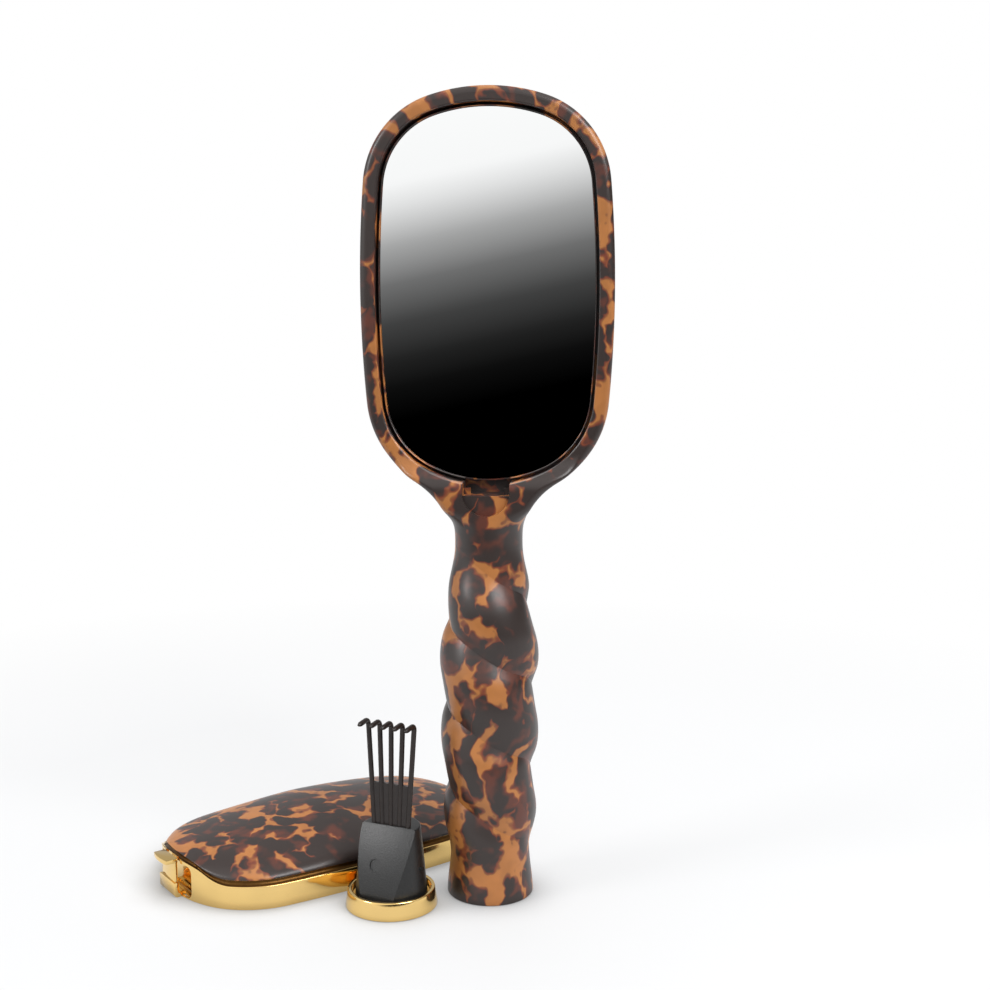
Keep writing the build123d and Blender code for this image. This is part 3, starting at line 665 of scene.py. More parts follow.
def handle_rows(start, head, handle):
    """Rows from the neck's open loop down the twisted handle, round its foot and up the bore."""
    low_z = open_z(head)
    neck_low, neck_top = low_z - NECK_LOW_DROP, low_z - NECK_TOP_DROP
    flare_r = handle.flare_radius / MM
    flare_x, flare_z, _ = flare_circle(head, handle)
    count = len(start)
    tau = 2 * math.pi

    def neck_radius(angle, z):
        """Radius of the neck: a box under the head that rounds off and turns into the two strands."""
        rise = min(max(z - flare_z, 0), flare_r * 0.9)
        half = flare_x - math.sqrt(flare_r**2 - rise**2)
        soft = ease((neck_top + 0.8 - z) / 9)
        front_corner, back_corner = 2.2 + 6.5 * soft, 3.8 + 4.0 * soft
        square = box_radius(angle, half, NECK_FRONT_Y, BACK_Y, front_corner, back_corner)
        share = ease((neck_top - z) / NECK_LENGTH)
        return square + (handle_radius(z, angle, handle, neck_low) - square) * share

    # angles of the open loop, rising all the way round
    loop_angles = []
    for x, y, z in start:
        angle = math.atan2(x, -y)
        while loop_angles and angle < loop_angles[-1]:
            angle += tau
        loop_angles.append(angle)

    def strand_angles(z):
        """Angles of the grid on the strands, crowded towards the creases."""
        crowding = 0.075
        first, second = crease_angle(z, 0, handle), crease_angle(z, 1, handle)
        half = count // 2
        found = []
        for begin, end in ((first, second), (second, first + tau)):
            for k in range(half):
                even = k / half
                found.append(begin + (end - begin) * (even - crowding * math.sin(tau * even)))
        return found

    ring = strand_angles(neck_low)

    def gap(k, shift):
        """Turn from a vertex of the open loop to its partner on the strands."""
        return (ring[(k + shift) % count] - loop_angles[k] + math.pi) % tau - math.pi

    shift = min(range(count), key=lambda shift: sum(gap(k, shift) ** 2 for k in range(0, count, 6)))
    targets = [loop_angles[k] + gap(k, shift) for k in range(count)]
    offsets = []
    for (x, y, z), angle in zip(start, loop_angles):
        near_x, near_y, _ = polar(neck_radius(angle, z), angle, z)
        offsets.append((x - near_x, y - near_y))
    rows = [start]
    steps = 18
    for step in range(1, steps + 1):
        share = step / steps
        fade = 1 - ease(share / 0.45)
        row = []
        for (_, _, z0), a, b, (dx, dy) in zip(start, loop_angles, targets, offsets):
            z = z0 + (neck_low - z0) * share
            angle = a + (b - a) * ease(share)
            x, y, _ = polar(neck_radius(angle, z), angle, z)
            row.append((x + dx * fade, y + dy * fade, z))
        rows.append(row)

    def ring_at(z, height, inset=0.0, radius=None):
        """One ring of the grid: on the strands at a height of the twist, drawn in, or round."""
        angles = strand_angles(z)
        row = []
        for k in range(count):
            angle = angles[(k + shift) % count]
            around = radius or handle_radius(z, angle, handle, neck_low) - inset
            row.append(polar(around, angle, height))
        return row

    turns = 112
    for step in range(1, turns + 1):
        z = neck_low + (FOOT_ROUND - neck_low) * step / turns
        rows.append(ring_at(z, z))
    for along, across in quarter(FOOT_ROUND, 4, 1):
        rows.append(ring_at(FOOT_ROUND, FOOT_ROUND - along, inset=across))
    for radius, z in BORE:
        rows.append(ring_at(FOOT_ROUND, z, radius=radius))
    return rows


def latch_socket_cutters(head):
    """Tools that cut the latch socket and the thumb's scoop."""
    low_z, ahead, scoop_depth = open_z(head), -40, 1.5
    socket = block("socket_tool", (-SOCKET_HALF, ahead, low_z - 3.1), (SOCKET_HALF, FLOOR_Y, low_z + 12))
    points = [(x, ahead, z) for x, z in circle(0, low_z - 2.0, SOCKET_HALF, 4)]
    scoop = prism("scoop_tool", points, (0, 1, 0), NECK_FRONT_Y + scoop_depth - ahead)
    return socket, scoop


class HAIRBRUSH_OT_frame(bpy.types.Operator):
    """Model the head ring, neck and twisted handle as one moulding."""

    bl_idname = "hairbrush.frame"
    bl_label = "Handle and head frame"

    def execute(self, context):
        head, handle = context.scene.brush_head, context.scene.brush_handle
        rows, cut_from, cut_to = head_rows(head, handle)
        piece = grown("handle_and_head", rows)
        close_flat()
        # open the underside of the head, where the neck goes on
        bpy.ops.mesh.select_mode(type="FACE")
        bpy.ops.mesh.select_all(action="DESELECT")
        mesh = bmesh.from_edit_mesh(piece.data)
        count = len(rows[0])
        bottom = [*range(BOTTOM_STEPS + 1), *range(count - BOTTOM_STEPS, count)]
        under = near_points([row[place] for row in rows[cut_from : cut_to + 1] for place in bottom])
        for face in mesh.faces:
            face.select_set(all(under.find(v.co)[2] < 0.000001 for v in face.verts))
        bmesh.update_edit_mesh(piece.data)
        bpy.ops.mesh.delete(type="FACE")
        select_edges(piece, lambda line: line.is_boundary)
        grow(piece, handle_rows(neck_start(rows, cut_from, cut_to), head, handle))
        close_flat()
        clean(piece)
        for tool in latch_socket_cutters(head):
            combine(piece, tool, "DIFFERENCE")
        low_z = open_z(head)
        catch_inside, catch_outside = 5.2, 7.25
        for near, far in ((-catch_outside, -catch_inside), (catch_inside, catch_outside)):
            catch = block("catch", (near, -4.75, low_z - 3.15), (far, -3.55, low_z - 1.2))
            combine(piece, catch, "UNION")
        finish = tortoiseshell(context.scene.brush_colours)
        settle(piece, BRUSH, "mirror_brush", ["handle_and_head_frame"], finish)
        return {"FINISHED"}


def opening_rows(places, head, profile):
    """Rows round the head's opening from pairs of inset and depth."""
    low_z = open_z(head)
    rows = []
    for inset, depth in profile:
        rows.append([(x, depth, low_z + z) for x, z in round_loop(places, inset)])
    return rows


def opening_piece(name, head, profile):
    """A closed body in the head's opening, grown from pairs of inset and depth."""
    piece = grown(name, opening_rows(stations(head), head, profile))
    close_flat()
    clean(piece)
    return piece


class HAIRBRUSH_OT_mirror(bpy.types.Operator):
    """Model the mirror's tray with its raised lip, and the silvered glass."""

    bl_idname = "hairbrush.mirror"
    bl_label = "Mirror and tray"

    def execute(self, context):
        head, colours = context.scene.brush_head, context.scene.brush_colours
        lip = [(0.88, -2.85), (0.9, -2.93), (0.95, -3.0), (1.08, -3.0), (1.13, -2.93), (1.15, -2.85)]
        tray = opening_piece("mirror_tray_lip", head, [(0.88, FLOOR_Y), *lip, (1.15, 0.7)])
        low_z = open_z(head)
        combine(tray, block("notch", (-7, -10, low_z - 4), (7, -1.8, low_z + 2.4)), "DIFFERENCE")
        settle(tray, BRUSH, "mirror_brush", ["mirror_tray"], tortoiseshell(colours))
        glass = opening_piece("mirror_silvered_glass", head, [(1.18, 0.2), (1.18, -1.66), (1.3, -1.8)])
        settle(glass, BRUSH, "mirror_brush", ["mirror_glass"], silvered_glass(colours), 5)
        return {"FINISHED"}


def pin_rows(head, cushion):
    """Places of the bristle pins, row by row up the head, inside a border that stays bare."""
    bare = 6.5
    border = round_loop(stations(head, 0.5), bare)
    length = head.opening_length / MM
    row_pitch, pin_pitch = cushion.row_pitch / MM, cushion.pin_pitch / MM
    count = int((length - 2 * bare) / row_pitch)
    first = (length - count * row_pitch) / 2
    rows = []
    for row in range(count + 1):
        u = first + row * row_pitch
        half = 0
        for (x, z), (next_x, next_z) in zip(border, border[1:] + border[:1]):
            if (z - u) * (next_z - u) < 0:
                half = max(half, abs(x + (next_x - x) * (u - z) / (next_z - z)))
        shift = pin_pitch / 2 if row % 2 else 0
        spots = [k * pin_pitch + shift for k in range(-8, 9)]
        rows.append((u, [x for x in spots if abs(x) <= half]))
    return rows


def crown_share(depth_in):
    """How far the rubber has risen at a distance from its edge, from 0 to 1."""
    if depth_in >= CROWN_RUN:
        return 1.0
    edge = math.sqrt(1 - (1 - min(depth_in / 7, 1)) ** 2)
    return 0.86 * edge + 0.14 * ease(depth_in / CROWN_RUN)


class HAIRBRUSH_OT_cushion(bpy.types.Operator):
    """Model the rubber cushion with its vent and the rows of ball-tipped pins."""

    bl_idname = "hairbrush.cushion"
    bl_label = "Cushion and pins"

    def execute(self, context):
        scene = context.scene
        head, sizes, colours = scene.brush_head, scene.brush_cushion, scene.brush_colours
        places = stations(head)
        low_z = open_z(head)
        crown, gap, plate_y = sizes.crown / MM, 0.3, 5.0
        profile = [(gap, plate_y), (gap, CROWN_Y)]
        for depth_in in (0.06, 0.25, 0.55, 1.0, 1.7, 2.6, 3.8, 5.2, 7.0, 9.5, 12.0):
            profile.append((gap + depth_in, CROWN_Y + crown * crown_share(depth_in)))
        rows = opening_rows(places, head, profile)
        middle = low_z + head.opening_length / MM / 2
        last = rows[-1]
        for scale in (0.8, 0.6, 0.4, 0.2, 0.06):
            depth = CROWN_Y + crown * crown_share(12.0 + (1 - scale) * 14)
            rows.append([(x * scale, depth, middle + (z - middle) * scale) for x, _, z in last])
        piece = grown("rubber_cushion", rows)
        close_flat()
        clean(piece)
        vent = [(x, 11.0, z) for x, z in circle(3.8, middle + 4.3, 0.8, 20)]
        combine(piece, prism("vent_tool", vent, (0, 1, 0), 10), "DIFFERENCE")
        rubber = moulded_rubber(colours)
        settle(piece, BRUSH, "mirror_brush", ["bristle_cushion"], rubber, 40)
        ball, length = sizes.ball_radius / MM, sizes.pin_length / MM
        tip = length - ball
        shank = [(0, -1.5), (0.8, -1.5), (0.78, 0), (0.64, length * 0.45), (0.5, tip - ball * 0.87)]
        cap = [(ball * math.cos(a), tip + ball * math.sin(a)) for a in (-0.7, -0.2, 0.3, 0.8, 1.25)]
        pin = turned("pin", shank + cap + [(0, length)], sizes.pin_sides)
        put(pin, Matrix.Rotation(-math.pi / 2, 4, "X"))
        border = round_loop(places, 0)
        material = moulded_nylon(colours.pin, "Bristle pin nylon")
        for number, (u, spots) in enumerate(pin_rows(head, sizes), start=1):
            node = f"bristle_row_{number:02d}"
            pins = []
            for x in spots:
                edge = min(math.hypot(x - bx, u - bz) for bx, bz in border)
                twin = copy_of(pin, f"pin_{number:02d}")
                surface = CROWN_Y + crown * crown_share(edge - gap)
                twin.matrix_world = Matrix.Translation(Vector((x, surface, low_z + u)) * MM)
                pins.append(twin)
            row = join(pins, f"pin_row_{number:02d}")
            put(row, row.matrix_world)
            settle(row, BRUSH, "mirror_brush", [node], material, 50)
        bpy.data.objects.remove(pin)
        return {"FINISHED"}


# ---- cover ----


def rim_top(u):
    """Top edge of the rim over the table."""
    return RIM_H + swell(u)


def rim_rows(places, profile):
    """Rows round the rim from triples: inset, share of the rim's top edge, height added."""
    rows = []
    for inset, share, lift in profile:
        row = []
        for across, along in round_loop(places, inset):
            row.append((along, -across, rim_top(along) * share + lift))
        rows.append(row)
    return rows


class HAIRBRUSH_OT_rim(bpy.types.Operator):
    """Model the plated rim with its coved ledge and the pocket behind the latch."""

    bl_idname = "hairbrush.rim"
    bl_label = "Cover rim"

    def execute(self, context):
        scene = context.scene
        head, sizes, colours = scene.brush_head, scene.brush_cover, scene.brush_colours
        wall, ledge = sizes.rim_wall / MM, sizes.ledge / MM
        out, step = RIM_GAP, RIM_GAP + ledge
        profile = [(out + wall, 0, 0.1), (out + wall - 0.1, 0, 0.0), (out + 0.25, 0, 0.0)]
        profile += [(out + 0.07, 0, 0.08), (out, 0, 0.28), (out, 0.35, 0), (out, 0.7, 0), (out, 1, -0.22)]
        profile += [(out + 0.02, 1, -0.12), (out + 0.08, 1, -0.04), (out + 0.17, 1, 0.0)]
        profile.append((out + 0.3, 1, 0.02))
        cove = ledge - 0.38
        for k in range(7):
            turn = math.pi / 2 * k / 6
            profile.append((step - cove * (1 - math.sin(turn)), 1, 0.03 + cove * (1 - math.cos(turn))))
        profile += [(step, 1, ledge - 0.04), (step + 0.05, 1, ledge), (step + 1.6, 1, ledge)]
        profile += [(step + 1.6, 1, -1.2), (out + wall, 1, -1.2), (out + wall, 0, 0.1)]
        rows = rim_rows(stations(head), profile)
        piece = loop_at("plated_rim", rows[0])
        bpy.ops.object.mode_set(mode="EDIT")
        bpy.ops.mesh.select_mode(type="EDGE")
        bpy.ops.mesh.select_all(action="SELECT")
        grow(piece, rows)
        clean(piece, 0.000005)
        # a backing behind the latch, the rounded pocket in it, the slot for the latch's foot, and the notch
        # in the rim's wall behind the tongue
        top = rim_top(0)
        backing = block("backing", (2.15, -12.2, 0.02), (4.0, 12.2, top - 1.0))
        combine(piece, backing, "UNION")
        low, high = 0.5, top - 1.3
        corners = [(-POCKET_HALF, low), (POCKET_HALF, low), (POCKET_HALF, high), (-POCKET_HALF, high)]
        pocket = prism("pocket_tool", [(-6, y, z) for y, z in corners], (1, 0, 0), 9.2)
        only(pocket)
        bpy.ops.object.mode_set(mode="EDIT")
        select_edges(pocket, lambda line: abs(line.verts[0].co.x - line.verts[1].co.x) > 0.001)
        bpy.ops.mesh.bevel(offset=0.0022, segments=6, affect="EDGES")
        bpy.ops.object.mode_set(mode="OBJECT")
        combine(piece, pocket, "DIFFERENCE")
        combine(piece, block("slot_tool", (-3, -6.05, -1), (2.4, 6.05, 1.6)), "DIFFERENCE")
        combine(piece, block("notch_tool", (-3, -5.6, 0.5), (1.2, 5.6, 30)), "DIFFERENCE")
        # the cove's faces, which get a darker gold as painted shade for the dark reflection there
        shaded_cove_faces = []
        for face in piece.data.polygons:
            rise = face.center.z / MM - rim_top(face.center.x / MM)
            if 0.06 < rise < ledge - 0.06:
                shaded_cove_faces.append(face.index)
        settle(piece, COVER, "back_cover", ["cover_rim"], gold_plating(colours), 30)
        piece.data.materials.append(painted_cove_gold(colours))
        for index in shaded_cove_faces:
            piece.data.polygons[index].material_index = 1
        return {"FINISHED"}


def dome_rows(places, inset, sizes):
    """Rows over the dome from its foot on the ledge up to the ridge, which sinks towards both ends."""
    ledge = sizes.ledge / MM
    base = round_loop(places, RIM_GAP + ledge + inset)
    widths = sorted((along, across) for across, along in base if across >= 0)
    first, last = widths[0][0], widths[-1][0]
    top, peak, low = sizes.dome_top / MM - inset, 56.0, RIM_H + ledge

    def half_width(u):
        for (u0, w0), (u1, w1) in zip(widths, widths[1:]):
            if u <= u1:
                return w0 + (w1 - w0) * (u - u0) / max(u1 - u0, 0.0001)
        return 0.0

    def height(u, v):
        foot = rim_top(u) + ledge
        if u < peak:
            hood = rim_top(first) + ledge
            crown = hood + (top - hood) * (1 - max((peak - u) / (peak - first), 0) ** 1.3)
        else:
            crown = low + (top - low) * (1 - min((u - peak) / (last - peak), 1) ** 1.6) ** (1 / 1.6)
        aside = min(abs(v) / max(half_width(u), 0.001), 1)
        return foot + max(crown - foot, 0) * (1 - aside**1.8) ** (1 / 1.8)

    rows = []
    steps, ridge_end = 34, 32
    for step in range(steps + 1):
        share = math.cos(math.pi / 2 * step / steps)
        row = []
        for across, along in base:
            ridge = min(max(along, first + ridge_end), last - ridge_end)
            u, v = ridge + (along - ridge) * share, -across * share
            row.append((u, v, height(u, v) if step else rim_top(along) + ledge))
        rows.append(row)
    return rows


class HAIRBRUSH_OT_dome(bpy.types.Operator):
    """Model the tortoiseshell dome as a shell that stands on the rim's ledge."""

    bl_idname = "hairbrush.dome"
    bl_label = "Cover dome"

    def execute(self, context):
        scene = context.scene
        sizes = scene.brush_cover
        places = stations(scene.brush_head)
        # from the hollow's ridge out to its foot, and up the outside to a last row that lies on itself
        inside = list(reversed(dome_rows(places, sizes.dome_wall / MM, sizes)[:-1]))
        piece = grown("tortoiseshell_dome", inside + dome_rows(places, 0.0, sizes))
        clean(piece)
        finish = tortoiseshell(scene.brush_colours)
        settle(piece, COVER, "back_cover", ["cover_dome"], finish, 40)
        return {"FINISHED"}


class HAIRBRUSH_OT_latch(bpy.types.Operator):
    """Model the sprung latch tongue: thumb tab, plate, shoulders and the bend at its foot."""

    bl_idname = "hairbrush.latch"
    bl_label = "Latch tongue"

    def execute(self, context):
        colours = context.scene.brush_colours
        height = RIM_H + SWELL
        turns = (0.0, 0.5, 1.0, 1.5708, 2.2, 2.7, 3.1416)
        bend = [(1.5 + 0.8 * math.sin(a), 0.8 - 0.8 * math.cos(a)) for a in turns]
        bend += [(0.5, 1.6), (0.05, 2.1), (0.0, 2.7)]
        profile = [(-1.0, height - 0.6), (-1.0, 4.8), (-1.0, 1.3), (-0.75, 0.45), (-0.3, 0.02)]
        profile += [*bend, (0.0, height - 0.6)]
        plate = prism("latch_plate", [(u, -TONGUE_HALF, z) for u, z in profile], (0, 1, 0), 2 * TONGUE_HALF)
        foot = [(-1.6, 4.8), (-1.6, 0.9), (-1.3, 0.3), (-0.7, 0.0), *bend, (0.0, 4.8)]
        foot = [(u, -SHOULDER_HALF, z) for u, z in foot]
        combine(plate, prism("latch_shoulders", foot, (0, 1, 0), 2 * SHOULDER_HALF), "UNION")
        reach, bow, thick = 3.7, 0.6, 1.3
        tab = [(0.1, -TONGUE_HALF), (0.1, TONGUE_HALF), (-reach, TONGUE_HALF)]
        for step in range(1, 8):
            across = TONGUE_HALF - 2 * TONGUE_HALF * step / 8
            tab.append((-reach - bow * (1 - (across / TONGUE_HALF) ** 2), across))
        tab.append((-reach, -TONGUE_HALF))
        thumb = prism("thumb_tab", [(u, v, height - thick) for u, v in tab], (0, 0, 1), thick)
        combine(plate, thumb, "UNION")
        ease_edges(plate, 0.18, 2)
        plate.name = plate.data.name = "latch_spring"
        settle(plate, COVER, "latch", ["latch_tongue"], gold_plating(colours), 40)
        return {"FINISHED"}


# ---- cleaning rake ----


class HAIRBRUSH_OT_cap(bpy.types.Operator):
    """Model the plated end cap that the rake stands on."""

    bl_idname = "hairbrush.cap"
    bl_label = "End cap"

    def execute(self, context):
        scene = context.scene
        top = scene.brush_rake.cap_height / MM
        outer = scene.brush_handle.foot_radius / MM
        wall = [(0.2, 0), (0.55, 0.05), (0.74, 0.2), (0.8, 0.42), (0.52, 2.1), (0.22, 3.9)]
        wall += [(0.03, top - 0.32), (-0.04, top - 0.12), (-0.2, top - 0.02), (-0.4, top), (-0.95, top)]
        wall += [(-1.14, top - 0.05), (-1.23, top - 0.2), (-1.25, top - 0.5), (-1.25, 3.5), (-1.35, 3.25)]
        wall.append((-1.7, PLUG_FLOOR))
        profile = [(0, 0), *((outer + out, z) for out, z in wall), (0, PLUG_FLOOR)]
        piece = turned("plated_end_cap", profile, 128)
        finish = gold_plating(scene.brush_colours)
        settle(piece, RAKE, "cleaning_tool", ["tool_end_cap"], finish, 50)
        return {"FINISHED"}


class HAIRBRUSH_OT_plug(bpy.types.Operator):
    """Model the black plug with its sloped front, its moulding mark and its side nub."""

    bl_idname = "hairbrush.plug"
    bl_label = "Plug"

    def execute(self, context):
        scene = context.scene
        top = scene.brush_rake.plug_height / MM
        tall = top - PLUG_FLOOR
        profile = [(0, PLUG_FLOOR), (PLUG_FOOT_R, PLUG_FLOOR)]
        profile += [(PLUG_FOOT_R - PLUG_TAPER * k / 8, PLUG_FLOOR + tall * k / 8) for k in range(1, 8)]
        profile += [(9.45, top - 0.75), (9.33, top - 0.3), (9.05, top - 0.07), (8.6, top), (0, top)]
        piece = turned("plug", profile, 112)
        # the sloped front: how far it stands out at the foot and at the top, half its height, and its bow
        foot_out, top_out, reach, bow = 11.0, 2.15, 16, 150.0
        lean = Matrix.Rotation(-math.atan2(foot_out - top_out, tall), 4, "X")
        middle_z = PLUG_FLOOR + tall / 2
        place = Matrix.Translation(Vector((0, -(foot_out + top_out) / 2, middle_z)) * MM) @ lean
        outline = [(-30, z * z / bow, z) for z in range(-reach, reach + 1)]
        outline += [(-30, -40, reach), (-30, -40, -reach)]
        front = prism("front_tool", outline, (1, 0, 0), 60)
        put(front, place)
        combine(piece, front, "DIFFERENCE")
        ease_edges(piece, 0.45, 4, 32)
        mark = [(x, -1, z) for x, z in circle(-2.0, 14.5 - PLUG_FLOOR - tall / 2, 1.9, 10)]
        dent = prism("mark_tool", mark, (0, 1, 0), 1.35)
        put(dent, place)
        combine(piece, dent, "DIFFERENCE")
        nub_z, nub_r = 13, 0.7
        side = PLUG_FOOT_R - PLUG_TAPER * (nub_z - PLUG_FLOOR) / tall
        nub = [(side - nub_r, y, z) for y, z in circle(0, nub_z, nub_r, 30)]
        combine(piece, prism("nub", nub, (1, 0, 0), 1.35), "UNION")
        finish = moulded_plug(scene.brush_colours)
        settle(piece, RAKE, "cleaning_tool", ["tool_plug_body"], finish, 35)
        return {"FINISHED"}


def tine_path(root, top, tip, bend):
    """Centre line of a hooked tine, with its bend drawn as an arc."""
    up, out = (top - root).normalized(), (tip - top).normalized()
    corner = math.acos(max(-1, min(1, up.dot(out))))
    reach = bend * math.tan(corner / 2)
    start, end = top - up * reach, top + out * reach
    across = up.cross(out).normalized()
    centre = start + across.cross(up) * bend
    path = [root + (start - root) * k / 6 for k in range(7)]
    for step in range(1, 9):
        turn = Matrix.Rotation(corner * step / 8, 3, across)
        path.append(centre + turn @ (start - centre))
    path += [end + (tip - end) * k / 3 for k in (1, 2, 3)]
    return path


def tube_rows(path, radii, sides, across):
    """Rings of points along a path, with a radius for each place."""
    rows = []
    for place, (point, radius) in enumerate(zip(path, radii)):
        ahead = path[min(place + 1, len(path) - 1)] - path[max(place - 1, 0)]
        normal = ahead.normalized().cross(across).normalized()
        side = ahead.normalized().cross(normal).normalized()
        row = []
        for k in range(sides):
            turn = 2 * math.pi * k / sides
            out = normal * (radius * math.cos(turn)) + side * (radius * math.sin(turn))
            row.append(tuple(point + out))
        rows.append(row)
    return rows


class HAIRBRUSH_OT_comb(bpy.types.Operator):
    """Model the rake's hooked tines, the web between them and their root."""

    bl_idname = "hairbrush.comb"
    bl_label = "Hooked tines"

    def execute(self, context):
        scene = context.scene
        rake = scene.brush_rake
        plug, top_z, radius = rake.plug_height / MM, rake.tine_top / MM, rake.tine_radius / MM
        count = rake.tines
        root_pitch, top_pitch, root_aside, top_aside = 2.95, 4.05, 0.2, 0.7
        parts = []
        half = (count - 1) / 2
        for index in range(count):
            place = index - half
            root = Vector((place * root_pitch + root_aside, 0, plug - 1.5))
            top = Vector((place * top_pitch + top_aside, 0, top_z - radius))
            tip = top + Vector((0, -5.6, -0.4))
            path = tine_path(root, top, tip, 1.6)
            radii = [radius] * len(path)
            end = (path[-1] - path[-2]).normalized()
            path[-1] = path[-1] - end * radius
            for along in (0.45, 0.8, 0.96):
                path.append(path[len(radii) - 1] + end * radius * along)
                radii.append(radius * math.sqrt(1 - along**2))
            piece = grown(f"tine_{index}", tube_rows(path, radii, 16, Vector((1, 0, 0))))
            bpy.ops.mesh.merge(type="CENTER")
            clean(piece)
            parts.append(piece)
        web_top, web_half = 40, 0.3
        share = (web_top - plug) / (top_z - plug)
        low, high = half * root_pitch, half * (root_pitch + (top_pitch - root_pitch) * share)
        lean = root_aside + (top_aside - root_aside) * share
        web = [(root_aside - low, plug - 0.2), (root_aside + low, plug - 0.2), (lean + high, web_top)]
        lobes = (count - 1) * 6
        for step in range(1, lobes):
            sag = 1.3 * math.sin(math.pi * (step / 6 % 1)) ** 0.5
            web.append((lean + high - 2 * high * step / lobes, web_top - sag))
        web.append((lean - high, web_top))
        parts.append(prism("web", [(x, -web_half, z) for x, z in web], (0, 1, 0), 2 * web_half))
        wide = half * 3.3 + radius + 1.2
        root = block("root", (-wide, -0.9, plug - 8), (wide, 0.9, plug - 0.4))
        ease_edges(root, 0.2, 2)
        parts.append(root)
        comb = join(parts, "hooked_tines")
        finish = moulded_nylon(scene.brush_colours.nylon, "Rake nylon")
        settle(comb, RAKE, "cleaning_tool", ["tool_rake_comb"], finish, 40)
        return {"FINISHED"}


# ---- finishes ----


def add_node(tree, kind, inputs=None, **settings):
    """Add a node, set its properties, and set or link its inputs."""
    node = tree.nodes.new(kind)
    for name, value in settings.items():
        setattr(node, name, value)
    for name, value in (inputs or {}).items():
        socket = node.inputs[name]
        if isinstance(value, bpy.types.NodeSocket):
            tree.links.new(value, socket)
        else:
            socket.default_value = value
    return node


def new_material(name):
    """An empty material and its nodes."""
    material = bpy.data.materials.new(name)
    material.use_nodes = True
    material.node_tree.nodes.clear()
    return material, material.node_tree


def object_place(tree):
    """Places on a piece in its own space, which moves with it."""
    return add_node(tree, "ShaderNodeTexCoord").outputs["Object"]


def noise(tree, place, scale, detail=1.0, rough=0.5):
    """The outputs of a soft noise with so many waves to the metre."""
    inputs = {"Vector": place, "Scale": scale, "Detail": detail, "Roughness": rough}
    return add_node(tree, "ShaderNodeTexNoise", inputs).outputs


def grey(value):
    """A grey as three numbers."""
    return (value, value, value)


def shades(colour, *stops):
    """Shades of one colour as stops for a ramp, from pairs of place and share of the colour."""
    return [(place, tuple(c * share for c in colour)) for place, share in stops]


def ramp(tree, factor, stops, interpolation="EASE"):
    """A colour ramp with its stops, each a place and a colour."""
    node = add_node(tree, "ShaderNodeValToRGB", {"Fac": factor})
    node.color_ramp.interpolation = interpolation
    while len(node.color_ramp.elements) < len(stops):
        node.color_ramp.elements.new(0.5)
    for element, (place, colour) in zip(node.color_ramp.elements, stops):
        element.position = place
        element.color = (*colour, 1)
    return node.outputs["Color"]


def mix(tree, share, first, second, blend_type="MIX"):
    """Two colours mixed by a share."""
    inputs = {0: share, 6: first, 7: second}
    return add_node(tree, "ShaderNodeMix", inputs, data_type="RGBA", blend_type=blend_type).outputs[2]


def bumps(tree, height, strength, distance):
    """Normals that follow a height."""
    inputs = {"Height": height, "Strength": strength, "Distance": distance}
    return add_node(tree, "ShaderNodeBump", inputs).outputs["Normal"]


def principled(tree, inputs):
    """The shader of a finish, wired to the material's output."""
    shader = add_node(tree, "ShaderNodeBsdfPrincipled", inputs)
    add_node(tree, "ShaderNodeOutputMaterial", {"Surface": shader.outputs[0]})


def pushed(tree, place, start, scale, reach):
    """Points pushed about by a noise, by half the reach at most."""
    waves = noise(tree, place, scale)["Color"]
    kind = "ShaderNodeVectorMath"
    centred = add_node(tree, kind, {0: waves, 1: grey(0.5)}, operation="SUBTRACT").outputs[0]
    push = add_node(tree, kind, {0: centred, "Scale": reach}, operation="SCALE").outputs[0]
    return add_node(tree, kind, {0: start, 1: push}, operation="ADD").outputs[0]


def add_share(tree, value, share, base):
    """A share of one value added to another."""
    inputs = {0: value, 1: share, 2: base}
    return add_node(tree, "ShaderNodeMath", inputs, operation="MULTIPLY_ADD").outputs[0]


def grained(name, colour, grain, stops, shader, relief=None, interpolation="EASE"):
    """A finish in shades of one colour that follow a fine grain, with bumps of the same grain if wanted.

    The grain is a noise's scale and detail, the stops pairs of place and share of the colour, the shader
    its sockets' values, and the relief the strength and depth of the bumps.
    """
    found = bpy.data.materials.get(name)
    if found:
        return found
    material, tree = new_material(name)
    height = noise(tree, object_place(tree), *grain)["Fac"]
    inputs = {"Base Color": ramp(tree, height, shades(colour, *stops), interpolation), **shader}
    if relief:
        inputs["Normal"] = bumps(tree, height, *relief)
    principled(tree, inputs)
    return material


